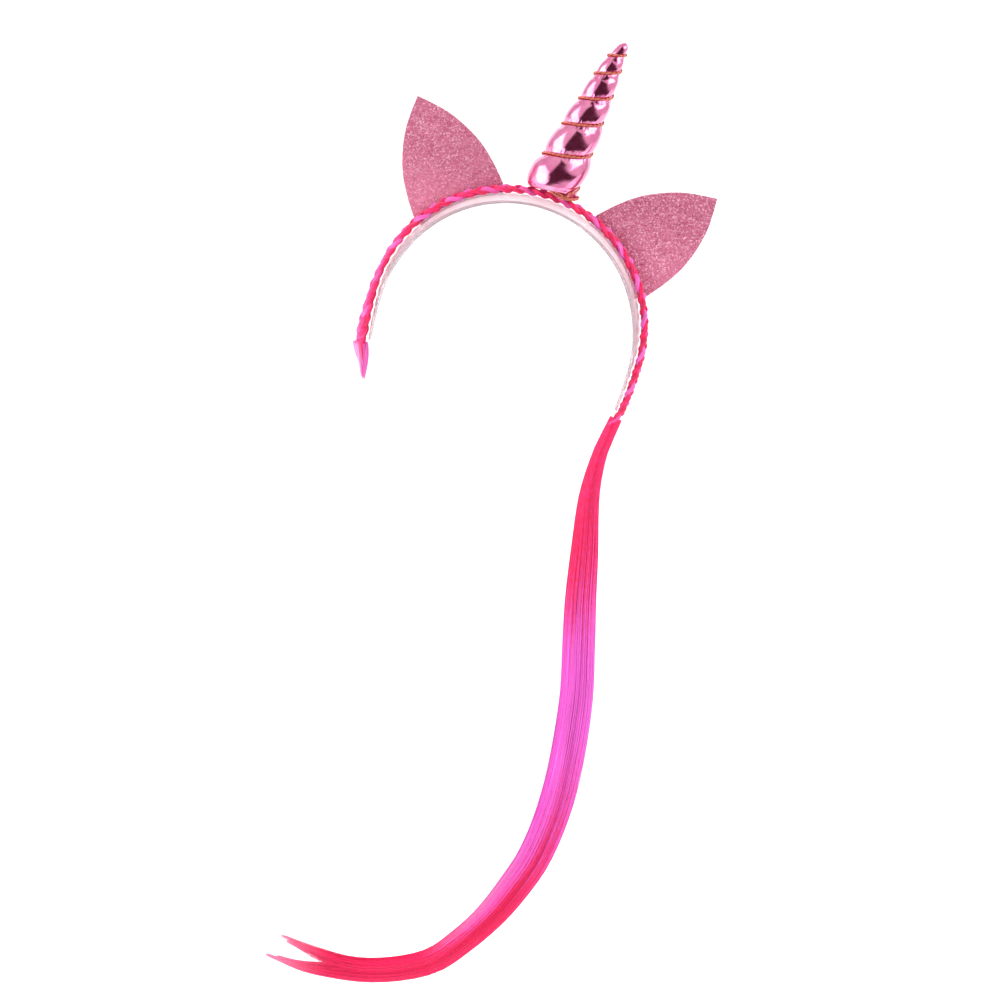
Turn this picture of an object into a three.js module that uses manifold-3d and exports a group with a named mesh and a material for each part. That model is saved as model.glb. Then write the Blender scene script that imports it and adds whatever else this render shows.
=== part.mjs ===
// Unicorn horn headband: a clear plastic hoop that carries a two-tone hair braid, two flat
// glitter ears, a stuffed horn with a gold cord in its spiral groove and a loose tail of hair.
// Millimetres. Z points up through the crown, X to the wearer's left and -Y to the brow side.
// The origin lies on the underside of the hoop, at the crown and at the middle of its width.

import * as THREE from 'three';
import { mergeVertices } from 'three/addons/utils/BufferGeometryUtils.js';
import Module from 'manifold-3d';

const wasm = await Module();
wasm.setup();

// Driving dimensions

const restGap = 0.3;              // left between pieces that touch

const crownRadius = 70;           // underside of the hoop over the crown
const legDepth = 125;             // half height of the ellipse that the legs follow
const hoopDrop = 98;              // from the crown down to the ends of the legs
const hoopWidth = 13;
const hoopEndWidth = 8;
const hoopThickness = 1.8;
const hoopTurn = 32;              // degrees the strip turns in from its rear edge to its front edge
const hoopNose = 4;               // length of the rounded ends
const hoopTaper = 60;             // length over which each leg narrows

const braidWidth = 6.8;
const braidHeight = 4.4;
const braidPeriod = 19;           // length in which one strand swings out and back
const strandWidth = 3.2;
const strandHeight = 2.5;
const braidInset = 0.2;           // from the rear edge of the hoop to the braid
const braidRunOut = 9;            // past the right end of the hoop
const braidLeftOut = 5;           // past the left end of the hoop
const braidTuck = 2.2;            // how far the right end slips in below the hoop
const braidSlackRatio = 1.4;      // fullness of the left end, which isn't drawn tight
const braidSlackLength = 48;      // over which it grows that full
const tuftLength = 18;
const tuftWidth = 8.6;
const tuftDepth = 6;

const earHeight = 55.5;           // above the braid
const earWidth = 52;
const earThickness = 1.8;
const earLeftAngle = -37;         // degrees from the crown
const earRightAngle = 42.8;

const hornAngle = 6.5;            // degrees from the crown
const hornLength = 89;
const hornRadius = 15.2;          // of the widest bulge
const grooveDepth = 0.16;         // share of the horn's radius at that height
const hornCordRadius = 0.65;
const footRingCord = 0.9;         // radius of the gathered cord round the foot
const hornFootGap = 0.5;          // between the curved braid and the horn's flat foot

const tailDrop = 308;             // from the end of the braid down to the lowest lock
const tailBow = 25.8;             // outwards, before it swings back
const tailSweep = 101;            // across, from below the braid's end to the tips
const tailAhead = 97;             // towards the brow side
const tailWidth = 18.2;
const tailThickness = 6;
const tailRootGap = 0.7;          // between the end of the braid and the root of the tail

// Tables

// Puffed outline of the horn: share of its length, share of its widest radius, and how far its
// middle sags sideways as a share of that radius.
const hornRows = [
  { height: 0.00, radius: 0.54, sag: 0.00 },
  { height: 0.028, radius: 0.54, sag: 0.00 },
  { height: 0.036, radius: 0.70, sag: 0.13 },
  { height: 0.05, radius: 0.89, sag: 0.33 },
  { height: 0.085, radius: 0.98, sag: 0.39 },
  { height: 0.13, radius: 0.98, sag: 0.39 },
  { height: 0.20, radius: 0.92, sag: 0.33 },
  { height: 0.33, radius: 0.81, sag: 0.28 },
  { height: 0.45, radius: 0.72, sag: 0.23 },
  { height: 0.52, radius: 0.65, sag: 0.21 },
  { height: 0.62, radius: 0.565, sag: 0.155 },
  { height: 0.72, radius: 0.49, sag: 0.13 },
  { height: 0.80, radius: 0.41, sag: 0.10 },
  { height: 0.87, radius: 0.32, sag: 0.065 },
  { height: 0.93, radius: 0.225, sag: 0.02 },
  { height: 0.97, radius: 0.18, sag: -0.03 },
  { height: 0.99, radius: 0.12, sag: -0.05 },
];

// How far the lowest puff hangs down on the side that it sags to, as a share of the widest radius.
const droopRows = [
  { height: 0.028, droop: 0 },
  { height: 0.036, droop: 0.05 },
  { height: 0.05, droop: 0.19 },
  { height: 0.085, droop: 0.12 },
  { height: 0.13, droop: 0.05 },
  { height: 0.20, droop: 0 },
];

// Groove of the horn: full turns from the foot, share of the horn's length.
const grooveRows = [
  { turn: 0, height: 0.028 },
  { turn: 1, height: 0.245 },
  { turn: 2, height: 0.45 },
  { turn: 3, height: 0.622 },
  { turn: 4, height: 0.79 },
  { turn: 5, height: 0.905 },
  { turn: 6, height: 0.965 },
  { turn: 7, height: 0.99 },
];
const cordTurns = 5.3;

// Side of an ear: share of its height above the braid, share of its half width.
const earRows = [
  { height: 0.00, width: 1.00 },
  { height: 0.20, width: 0.965 },
  { height: 0.40, width: 0.88 },
  { height: 0.59, width: 0.71 },
  { height: 0.77, width: 0.47 },
  { height: 0.90, width: 0.22 },
  { height: 1.00, width: 0.00 },
];

// Route of the tail: shares of its drop, bow, sweep and reach ahead.
const tailRows = [
  { down: 0.000, out: 0.00, sweep: 0.00, ahead: 0.00 },
  { down: 0.048, out: -0.05, sweep: 0.00, ahead: 0.015 },
  { down: 0.120, out: -0.03, sweep: 0.00, ahead: 0.06 },
  { down: 0.225, out: 0.22, sweep: 0.00, ahead: 0.175 },
  { down: 0.298, out: 0.40, sweep: 0.00, ahead: 0.29 },
  { down: 0.367, out: 0.61, sweep: 0.00, ahead: 0.42 },
  { down: 0.459, out: 0.87, sweep: 0.00, ahead: 0.565 },
  { down: 0.607, out: 1.03, sweep: 0.00, ahead: 0.755 },
  { down: 0.715, out: 0.90, sweep: 0.00, ahead: 0.86 },
  { down: 0.771, out: 0.68, sweep: 0.00, ahead: 0.905 },
  { down: 0.831, out: 0.36, sweep: 0.00, ahead: 0.95 },
  { down: 0.887, out: 0.05, sweep: 0.028, ahead: 0.98 },
  { down: 0.939, out: 0.00, sweep: 0.148, ahead: 0.995 },
  { down: 0.984, out: 0.00, sweep: 0.436, ahead: 1.00 },
  { down: 1.000, out: 0.00, sweep: 0.752, ahead: 0.98 },
  { down: 0.997, out: 0.00, sweep: 1.00, ahead: 0.95 },
];

// Fullness of the tail: share of its length, share of its width, share of its thickness.
const tailFullness = [
  { along: 0.00, width: 0.36, thickness: 0.72 },
  { along: 0.05, width: 0.46, thickness: 0.80 },
  { along: 0.12, width: 0.68, thickness: 0.92 },
  { along: 0.20, width: 0.88, thickness: 1.00 },
  { along: 0.30, width: 0.97, thickness: 1.00 },
  { along: 0.50, width: 1.00, thickness: 0.95 },
  { along: 0.62, width: 0.95, thickness: 0.85 },
  { along: 0.72, width: 0.80, thickness: 0.80 },
  { along: 0.88, width: 0.74, thickness: 0.70 },
  { along: 1.00, width: 0.74, thickness: 0.60 },
];

// Locks of the tail: place across and ahead as shares of its half width and half thickness,
// width as a share of the tail's, end as a share of its length, and how far the lock's tip
// spreads across.
const tailLocks = [
  { across: -0.58, ahead: 0.12, width: 0.42, end: 1.00, spread: -0.20 },
  { across: -0.18, ahead: -0.20, width: 0.44, end: 0.93, spread: -0.24 },
  { across: 0.20, ahead: 0.20, width: 0.44, end: 0.92, spread: 0.32 },
  { across: 0.58, ahead: -0.08, width: 0.42, end: 0.99, spread: 0.70 },
];

// Locks of the tuft at the left end: place as shares of half its width and depth, and length.
const tuftLocks = [
  { across: 0.55, ahead: 0.15, end: 0.62 },
  { across: 0.05, ahead: 0.45, end: 0.86 },
  { across: -0.50, ahead: 0.00, end: 1.00 },
  { across: 0.00, ahead: -0.50, end: 0.92 },
];

// Smooth value from a table, without overshoot.
function readRows(rows, key, column, share) {
  const last = rows.length - 1;
  if (share <= rows[0][key]) return rows[0][column];
  if (share >= rows[last][key]) return rows[last][column];
  const slope = (i) => (rows[i + 1][column] - rows[i][column]) / (rows[i + 1][key] - rows[i][key]);
  const tangent = (i) => {
    if (i === 0) return slope(0);
    if (i === last) return slope(last - 1);
    const before = slope(i - 1);
    const after = slope(i);
    return before * after <= 0 ? 0 : (2 * before * after) / (before + after);
  };
  const i = rows.findIndex((row) => row[key] > share) - 1;
  const span = rows[i + 1][key] - rows[i][key];
  const t = (share - rows[i][key]) / span;
  const t2 = t * t;
  const t3 = t2 * t;
  return (2 * t3 - 3 * t2 + 1) * rows[i][column] + (t3 - 2 * t2 + t) * span * tangent(i)
    + (3 * t2 - 2 * t3) * rows[i + 1][column] + (t3 - t2) * span * tangent(i + 1);
}

// Closed skin over a row of rings with equally many points, each end closed round its centre.
function loft(rings) {
  const sides = rings[0].length;
  const points = rings.flat();
  const index = [];
  for (let i = 0; i < rings.length - 1; i += 1) {
    for (let j = 0; j < sides; j += 1) {
      const a = i * sides + j;
      const b = i * sides + (j + 1) % sides;
      index.push(a, a + sides, b, b, a + sides, b + sides);
    }
  }
  for (const end of [0, rings.length - 1]) {
    const centre = new THREE.Vector3();
    rings[end].forEach((point) => centre.addScaledVector(point, 1 / sides));
    points.push(centre);
    for (let j = 0; j < sides; j += 1) {
      const a = end * sides + j;
      const b = end * sides + (j + 1) % sides;
      if (end === 0) index.push(a, b, points.length - 1);
      else index.push(b, a, points.length - 1);
    }
  }
  const geometry = new THREE.BufferGeometry().setFromPoints(points);
  geometry.setIndex(index);
  return geometry;
}

// Joining of closed skins into one solid.
function toSolid(geometry) {
  const bare = geometry.clone();
  bare.deleteAttribute('normal');
  bare.deleteAttribute('uv');
  const merged = mergeVertices(bare, 1e-4);
  return new wasm.Manifold(new wasm.Mesh({
    numProp: 3,
    vertProperties: new Float32Array(merged.attributes.position.array),
    triVerts: new Uint32Array(merged.index.array),
  }));
}

function fuse(geometries) {
  const mesh = geometries.map(toSolid).reduce((whole, part) => whole.add(part)).getMesh();
  const geometry = new THREE.BufferGeometry();
  geometry.setAttribute('position', new THREE.BufferAttribute(mesh.vertProperties, mesh.numProp));
  geometry.setIndex(new THREE.BufferAttribute(mesh.triVerts, 1));
  return geometry;
}

// Line of the hoop's underside, from the left end over the crown to the right end.
class HoopLine extends THREE.Curve {
  constructor() {
    super();
    this.legAngle = Math.asin((hoopDrop - crownRadius) / legDepth);
  }

  angle(t) {
    return (2 * t - 1) * (Math.PI / 2 + this.legAngle);
  }

  getPoint(t) {
    const angle = this.angle(t);
    const below = Math.abs(angle) - Math.PI / 2;
    const x = crownRadius * Math.sin(angle);
    const depth = below > 0 ? legDepth * Math.sin(below) : -crownRadius * Math.cos(angle);
    return new THREE.Vector3(x, 0, -crownRadius - depth);
  }

  normal(t) {
    const angle = this.angle(t);
    const reach = Math.abs(angle) > Math.PI / 2 ? legDepth : crownRadius;
    return new THREE.Vector3(Math.sin(angle) / crownRadius, 0, Math.cos(angle) / reach).normalize();
  }
}

const hoopLine = new HoopLine();
const halfHoop = hoopLine.getLength() / 2;

// Point at a distance along the underside from the crown, lifted off it, at a depth y.
function place(along, lift, y) {
  const held = THREE.MathUtils.clamp(along, -halfHoop, halfHoop);
  const t = hoopLine.getUtoTmapping(0.5 + held / (2 * halfHoop));
  const out = hoopLine.normal(t);
  const onward = new THREE.Vector3(out.z, 0, -out.x);
  const point = hoopLine.getPoint(t);
  return point.addScaledVector(out, lift).addScaledVector(onward, along - held).setY(y);
}

// Cross section of the hoop: the rear edge is level and the front edge turns in to the brow.
const turn = THREE.MathUtils.degToRad(hoopTurn);
const stripRadius = hoopWidth / turn;
const rearEdge = stripRadius * Math.sin(turn / 2);
const rearRise = stripRadius * (1 - Math.cos(turn / 2));

function onStrip(forward, height) {
  const lean = forward / stripRadius;
  return {
    y: rearEdge - (stripRadius + height) * Math.sin(lean),
    lift: rearRise + height - (stripRadius + height) * (1 - Math.cos(lean)),
    lean,
  };
}

// Hoop

function makeHoop() {
  const ringAt = (along) => {
    const toEnd = halfHoop - Math.abs(along);
    const narrowing = THREE.MathUtils.smoothstep(toEnd, 0, hoopTaper);
    const width = THREE.MathUtils.lerp(hoopEndWidth, hoopWidth, narrowing);
    const nose = Math.min(1, (toEnd + 0.15 * hoopNose) / hoopNose);
    const round = Math.sqrt(1 - (1 - nose) ** 2);
    const from = width * (1 - round) / 2;
    const steps = 4;
    const ring = [];
    for (let i = 0; i <= steps; i += 1) {
      const { y, lift } = onStrip(from + width * round * i / steps, 0);
      ring.push(place(along, lift, y));
    }
    for (let i = steps; i >= 0; i -= 1) {
      const { y, lift } = onStrip(from + width * round * i / steps, hoopThickness);
      ring.push(place(along, lift, y));
    }
    return ring;
  };
  const stations = 46;
  const body = halfHoop - hoopNose;
  const stops = [-halfHoop, -halfHoop + 0.15 * hoopNose, -halfHoop + 0.45 * hoopNose];
  for (let i = 0; i <= stations; i += 1) stops.push(body * (2 * i / stations - 1));
  stops.push(halfHoop - 0.45 * hoopNose, halfHoop - 0.15 * hoopNose, halfHoop);
  return loft(stops.map(ringAt));
}

// Braid: three strands that cross, with a tuft at the left end

const braidSeat = onStrip(braidInset + braidWidth / 2, hoopThickness + restGap + braidHeight / 2);
const braidStart = -halfHoop - braidLeftOut;
const braidEnd = halfHoop + braidRunOut;

function braidTuckAt(along) {
  return braidTuck * THREE.MathUtils.smoothstep(along, halfHoop - 2, braidEnd);
}

// Point of the braid's cross section: sideways towards the brow, and off the hoop.
function inBraid(along, sideways, height) {
  const y = braidSeat.y - sideways * Math.cos(braidSeat.lean) - height * Math.sin(braidSeat.lean);
  const lift = braidSeat.lift - sideways * Math.sin(braidSeat.lean)
    + height * Math.cos(braidSeat.lean) - braidTuckAt(along);
  return place(along, lift, y);
}

// How far the three strands reach from the middle of the braid's section in one direction.
function braidReach(phase, around) {
  const swing = (braidWidth - strandWidth) / 2;
  const rise = (braidHeight - strandHeight) / 2;
  const across = Math.cos(around) / (strandWidth / 2);
  const off = Math.sin(around) / (strandHeight / 2);
  let reach = strandHeight / 2;
  for (const lag of [0, 1 / 3, 2 / 3]) {
    const swung = phase + 2 * Math.PI * lag;
    const middleAcross = swing * Math.sin(swung) / (strandWidth / 2);
    const middleOff = rise * Math.sin(2 * swung) / (strandHeight / 2);
    const square = across ** 2 + off ** 2;
    const half = across * middleAcross + off * middleOff;
    const inside = half ** 2 - square * (middleAcross ** 2 + middleOff ** 2 - 1);
    if (inside > 0) reach = Math.max(reach, (half + Math.sqrt(inside)) / square);
  }
  return reach;
}

// Outer skin of the crossing strands, gathered at the end that goes over into the tail.
function braidSkin() {
  const sides = 12;
  const stepsPerPeriod = 10;
  const steps = Math.round((braidEnd - braidStart) / braidPeriod * stepsPerPeriod);
  const rings = [];
  for (let i = 0; i <= steps; i += 1) {
    const along = braidStart + (braidEnd - braidStart) * i / steps;
    const phase = 2 * Math.PI * along / braidPeriod;
    const loose = THREE.MathUtils.smoothstep(braidEnd - along, 0, braidPeriod / 2);
    const drawn = THREE.MathUtils.smoothstep(along - braidStart, 0, braidSlackLength);
    const fullness = THREE.MathUtils.lerp(braidSlackRatio, 1, drawn);
    const gather = fullness * THREE.MathUtils.lerp(0.75, 1, loose);
    const raised = braidHeight / 2 * (fullness - 1);
    const ring = [];
    for (let j = 0; j < sides; j += 1) {
      const around = 2 * Math.PI * j / sides;
      const reach = gather * braidReach(phase, around);
      ring.push(inBraid(along, reach * Math.cos(around), raised + reach * Math.sin(around)));
    }
    rings.push(ring);
  }
  return loft(rings);
}

// Tapered lock of hair along a curve: wide across the view from the brow side.
function lock(curve, sectionAt, steps, sides) {
  const brow = new THREE.Vector3(0, -1, 0);
  const rings = [];
  for (let i = 0; i <= steps; i += 1) {
    const u = i / steps;
    const centre = curve.getPointAt(u);
    const onward = curve.getTangentAt(u);
    const front = brow.clone().addScaledVector(onward, -brow.dot(onward)).normalize();
    const wide = new THREE.Vector3().crossVectors(onward, front);
    const { across, ahead, width, thickness } = sectionAt(u);
    centre.addScaledVector(wide, across).addScaledVector(front, ahead);
    const ring = [];
    for (let j = 0; j < sides; j += 1) {
      const around = 2 * Math.PI * j / sides;
      ring.push(centre.clone()
        .addScaledVector(wide, width / 2 * Math.cos(around))
        .addScaledVector(front, thickness / 2 * Math.sin(around)));
    }
    rings.push(ring);
  }
  return loft(rings);
}

function tuftLock({ across, ahead, end }) {
  const root = braidStart + 2;
  const tip = braidStart - tuftLength * end;
  const stops = [0, 0.35, 0.7, 1].map((share) => {
    const fan = Math.sin(Math.PI * (0.25 + 0.5 * share));
    return inBraid(
      THREE.MathUtils.lerp(root, tip, share),
      ahead * tuftDepth / 2 * fan * (1 - share),
      across * tuftWidth / 2 * fan * (1 - share) - 2.4 * share,
    );
  });
  const sectionAt = (u) => {
    const full = Math.sin(Math.PI * (0.22 + 0.7 * u));
    return { across: 0, ahead: 0, width: tuftWidth * 0.55 * full, thickness: tuftDepth * 0.5 * full };
  };
  return lock(new THREE.CatmullRomCurve3(stops), sectionAt, 6, 6);
}

function makeBraid() {
  return fuse([braidSkin(), ...tuftLocks.map(tuftLock)]);
}

// Tail: locks fused side by side, hanging from the right end of the braid

const tailRoot = inBraid(braidEnd + tailRootGap, 0, 0);
const tailLine = new THREE.CatmullRomCurve3(tailRows.map(({ down, out, sweep, ahead }) => (
  new THREE.Vector3(
    tailRoot.x + tailBow * out - tailSweep * sweep,
    tailRoot.y - tailAhead * ahead,
    tailRoot.z - tailDrop * down,
  )
)));
tailLine.arcLengthDivisions = 400;

function tailLock({ across, ahead, width, end, spread }) {
  const line = {
    getPointAt: (u) => tailLine.getPointAt(u * end),
    getTangentAt: (u) => tailLine.getTangentAt(u * end),
  };
  const sectionAt = (u) => {
    const along = u * end;
    const fullWidth = tailWidth * readRows(tailFullness, 'along', 'width', along);
    const fullThickness = tailThickness * readRows(tailFullness, 'along', 'thickness', along);
    const fan = THREE.MathUtils.smoothstep(u, 0.75, 1);
    const taper = THREE.MathUtils.lerp(1, 0.16, THREE.MathUtils.smoothstep(u, 0.84, 1));
    return {
      across: fullWidth / 2 * (across + spread * fan),
      ahead: fullThickness / 2 * ahead,
      width: fullWidth * width * taper,
      thickness: fullThickness * 0.8 * taper,
    };
  };
  return lock(line, sectionAt, 26, 8);
}

// Ears: flat sheets behind the braid, each with its foot on the rear edge of the hoop

function makeEar() {
  const footRadius = crownRadius + rearRise;
  const baseRadius = footRadius + hoopThickness + restGap + braidHeight;
  const halfAngle = Math.asin(earWidth / 2 / baseRadius);
  const baseHeight = baseRadius * Math.cos(halfAngle);
  const tipHeight = baseRadius + earHeight;
  const side = earRows.map(({ height, width }) => (
    new THREE.Vector2(width * earWidth / 2, THREE.MathUtils.lerp(baseHeight, tipHeight, height))
  ));
  const shape = new THREE.Shape();
  shape.absarc(0, 0, footRadius, Math.PI / 2 + halfAngle, Math.PI / 2 - halfAngle, true);
  shape.lineTo(side[0].x, side[0].y);
  shape.splineThru(side.slice(1));
  shape.splineThru(side.slice(0, -1).reverse().map(({ x, y }) => new THREE.Vector2(-x, y)));
  const sheet = new THREE.ExtrudeGeometry(shape, {
    depth: earThickness,
    bevelEnabled: false,
    curveSegments: 4,
  });
  return sheet.rotateX(Math.PI / 2);
}

// Horn: a stuffed cone that the cord draws in along a rising spiral

const hornSides = 20;
const cordFacetRoom = 0.3;        // more room for the cord, because the horn's faces are flat

function grooveHeight(turns) {
  return hornLength * readRows(grooveRows, 'turn', 'height', turns);
}

// Radius at a number of turns up the spiral, where a whole number past the groove is the next.
function hornSkin(turns, fromGroove) {
  const full = hornRadius * readRows(hornRows, 'height', 'radius', grooveHeight(turns) / hornLength);
  const fade = 1 - THREE.MathUtils.smoothstep(turns, cordTurns, cordTurns + 0.6);
  const start = THREE.MathUtils.smoothstep(turns, 0, 0.3);
  const bulge = Math.abs(Math.sin(Math.PI * fromGroove)) ** 0.6;
  return full * (1 - grooveDepth * fade * start * (1 - bulge));
}

function hornPoint(side, radius, height) {
  const around = 2 * Math.PI * side / hornSides;
  const sag = hornRadius * readRows(hornRows, 'height', 'sag', height / hornLength);
  const droop = hornRadius * readRows(droopRows, 'height', 'droop', height / hornLength);
  const x = radius * Math.sin(around) - sag;
  return new THREE.Vector3(x, -radius * Math.cos(around), height - droop * (1 - Math.sin(around)) / 2);
}

function makeHorn() {
  const rowsPerTurn = 5;
  const topTurn = grooveRows[grooveRows.length - 1].turn;
  const points = [];
  for (let side = 0; side < hornSides; side += 1) {
    points.push(hornPoint(side, hornSkin(0, 0), 0));
  }
  const number = new Map();
  const vertex = (side, row) => {
    const raised = side >= hornSides ? row + rowsPerTurn : row;
    const column = side % hornSides;
    const turns = THREE.MathUtils.clamp(column / hornSides + raised / rowsPerTurn, 0, topTurn);
    const key = `${column} ${turns}`;
    if (!number.has(key)) {
      number.set(key, points.length);
      const radius = hornSkin(turns, turns - column / hornSides);
      points.push(hornPoint(column, radius, grooveHeight(turns)));
    }
    return number.get(key);
  };
  const index = [];
  const addFace = (a, b, c) => {
    if (a !== b && b !== c && c !== a) index.push(a, b, c);
  };
  for (let row = -rowsPerTurn; row < topTurn * rowsPerTurn; row += 1) {
    for (let side = 0; side < hornSides; side += 1) {
      const a = vertex(side, row);
      const b = vertex(side + 1, row);
      const c = vertex(side + 1, row + 1);
      const d = vertex(side, row + 1);
      addFace(a, b, c);
      addFace(a, c, d);
    }
  }
  const footCentre = points.push(new THREE.Vector3()) - 1;
  const tip = points.push(hornPoint(0, 0, hornLength)) - 1;
  for (let side = 0; side < hornSides; side += 1) {
    const next = (side + 1) % hornSides;
    const a = number.get(`${side} 0`);
    const b = number.get(`${next} 0`);
    addFace(side, next, b);
    addFace(side, b, a);
    addFace(next, side, footCentre);
    addFace(number.get(`${side} ${topTurn}`), number.get(`${next} ${topTurn}`), tip);
  }
  const geometry = new THREE.BufferGeometry().setFromPoints(points);
  geometry.setIndex(index);
  return geometry;
}

// Middle of the cord, off the floor of the groove along the skin's own normal.
function cordPoint(turns) {
  const near = (sideways, upward) => {
    const height = grooveHeight(turns + upward);
    return hornPoint(turns * hornSides + sideways, hornSkin(turns + upward, 0), height);
  };
  const around = near(1, 0).sub(near(-1, 0));
  const up = near(0, 0.05).sub(near(0, 0));
  const seat = restGap + hornCordRadius + cordFacetRoom;
  const point = near(0, 0).addScaledVector(around.cross(up).normalize(), seat);
  return point.setZ(Math.max(point.z, footRingCord));
}

function makeHornCord() {
  const ringRadius = hornRadius * hornRows[0].radius + restGap + footRingCord;
  const before = 2 * Math.PI / hornSides;
  const stops = [new THREE.Vector3(-Math.sin(before), -Math.cos(before), 0).multiplyScalar(ringRadius)];
  stops[0].z = footRingCord;
  for (let i = 1; i <= cordTurns * hornSides; i += 1) stops.push(cordPoint(i / hornSides));
  const section = new THREE.Shape();
  section.absarc(0, 0, hornCordRadius, 0, 2 * Math.PI);
  const cord = new THREE.ExtrudeGeometry(section, {
    steps: Math.round(cordTurns * hornSides),
    curveSegments: 3,
    extrudePath: new THREE.CatmullRomCurve3(stops),
  });
  const ring = new THREE.TorusGeometry(ringRadius, footRingCord, 6, hornSides);
  return fuse([cord, ring.translate(0, 0, footRingCord)]);
}

// Assembly

function material(color, roughness, metalness = 0) {
  return new THREE.MeshStandardMaterial({ color, roughness, metalness });
}

function named(name, geometry, finish) {
  const mesh = new THREE.Mesh(geometry, finish);
  mesh.name = name;
  return mesh;
}

const headband = new THREE.Group();
headband.add(named('hoop', makeHoop(), material(0xf2eeee, 0.15)));
headband.add(named('braid', makeBraid(), material(0xf0388c, 0.45)));
headband.add(named('hair_tail', fuse(tailLocks.map(tailLock)), material(0xfa4f9e, 0.4)));

const glitter = [0xd97c9b, 0.55, 0.3];
const ears = [['ear_left', earLeftAngle], ['ear_right', earRightAngle]];
ears.forEach(([name, angle]) => {
  const ear = named(name, makeEar(), material(...glitter));
  const turned = new THREE.Group();
  turned.position.set(0, rearEdge + restGap + earThickness, -crownRadius);
  turned.rotation.y = THREE.MathUtils.degToRad(angle);
  turned.add(ear);
  headband.add(turned);
});

const hornStand = new THREE.Group();
const hornLean = THREE.MathUtils.degToRad(hornAngle);
const hornLift = braidSeat.lift + braidHeight / 2 + hornFootGap;
hornStand.position.copy(place(crownRadius * hornLean, hornLift, braidSeat.y));
hornStand.rotation.y = hornLean;
hornStand.add(named('horn', makeHorn(), material(0xe07fae, 0.2, 0.9)));
hornStand.add(named('horn_cord', makeHornCord(), material(0xc8703c, 0.4, 0.5)));
headband.add(hornStand);

export default headband;
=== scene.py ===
"""Looks of a unicorn horn headband: clear hoop, two-tone braid and hair tail, glitter ears, stuffed
foil horn with a twisted gold cord, and the studio that they stand in. Lengths are in metres."""

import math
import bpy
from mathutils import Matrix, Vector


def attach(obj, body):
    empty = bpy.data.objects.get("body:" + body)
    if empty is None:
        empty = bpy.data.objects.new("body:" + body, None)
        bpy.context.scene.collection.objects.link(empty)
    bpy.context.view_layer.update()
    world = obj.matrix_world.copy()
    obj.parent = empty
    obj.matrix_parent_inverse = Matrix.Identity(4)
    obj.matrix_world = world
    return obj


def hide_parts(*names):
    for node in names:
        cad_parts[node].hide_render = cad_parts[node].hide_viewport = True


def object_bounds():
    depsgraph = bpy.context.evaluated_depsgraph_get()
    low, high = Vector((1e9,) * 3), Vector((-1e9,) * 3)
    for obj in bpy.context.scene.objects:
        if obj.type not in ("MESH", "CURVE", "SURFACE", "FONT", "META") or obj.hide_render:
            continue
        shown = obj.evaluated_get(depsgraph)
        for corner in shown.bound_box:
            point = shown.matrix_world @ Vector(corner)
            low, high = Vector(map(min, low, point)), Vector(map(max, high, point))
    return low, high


bl_info = {
    "name": "Unicorn Horn Headband",
    "version": (1, 0, 0),
    "blender": (4, 5, 0),
    "location": "View3D > Sidebar > Headband",
    "description": "Makes the hair, the horn, the ears and the studio of a unicorn horn headband",
    "category": "Object",
}

import bmesh
import bpy
import numpy as np
from bpy.props import FloatProperty, FloatVectorProperty, IntProperty, PointerProperty
from mathutils import Matrix, Vector

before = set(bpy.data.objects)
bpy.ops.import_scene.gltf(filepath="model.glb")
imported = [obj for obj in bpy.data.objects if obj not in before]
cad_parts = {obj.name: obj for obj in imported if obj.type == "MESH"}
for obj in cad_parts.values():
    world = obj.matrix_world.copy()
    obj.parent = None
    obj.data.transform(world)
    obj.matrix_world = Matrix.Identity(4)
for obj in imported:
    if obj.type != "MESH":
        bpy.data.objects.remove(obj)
CAD_BOUNDS = [[float(x) for x in corner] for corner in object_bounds()]

MM = 0.001
TAU = 2 * math.pi
PHOTO_PIXELS = 1000
SENSOR = 36.0
TUCK_START = 2 * MM
CLOTH_FRAMES = 20


# Sizes and colours that a user may change

def length(name, text, millimetres):
    return FloatProperty(
        name=name, description=text, default=millimetres * MM, subtype="DISTANCE", unit="LENGTH", precision=5,
    )


def turned(name, text, degrees):
    return FloatProperty(
        name=name, description=text, default=math.radians(degrees), subtype="ANGLE", unit="ROTATION",
    )


def share(name, text, value):
    return FloatProperty(name=name, description=text, default=value, subtype="FACTOR")


def amount(name, text, count):
    return IntProperty(name=name, description=text, default=count, min=1)


def linear(red, green, blue):
    """Scene-linear colour of a screen colour that is given from 0 to 255."""
    return tuple(
        c / 12.92 if c <= 0.04045 else ((c + 0.055) / 1.055) ** 2.4
        for c in (red / 255, green / 255, blue / 255)
    )


def colour(name, text, red, green, blue):
    return FloatVectorProperty(
        name=name, description=text, default=linear(red, green, blue), subtype="COLOR", size=3, min=0, max=1,
    )


class HoopSettings(bpy.types.PropertyGroup):
    crown_radius: length("Crown radius", "Underside of the hoop over the crown", 70)
    leg_depth: length("Leg depth", "Half height of the ellipse that the legs follow", 125)
    drop: length("Drop", "From the crown down to the ends of the legs", 98)
    width: length("Width", "Width of the strip over the crown", 13)
    end_width: length("End width", "Width of the strip at its ends", 8)
    thickness: length("Thickness", "Wall of the strip", 1.8)
    turn: turned("Turn", "How far the strip turns in from its rear edge to its front edge", 32)
    nose: length("Nose", "Length of the rounded ends", 4)
    taper: length("Taper", "Length over which each leg narrows", 60)
    rest_gap: length("Rest gap", "Left between pieces that touch", 0.3)
    tone: colour("Plastic", "Tone of the clear plastic", 240, 226, 231)


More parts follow.
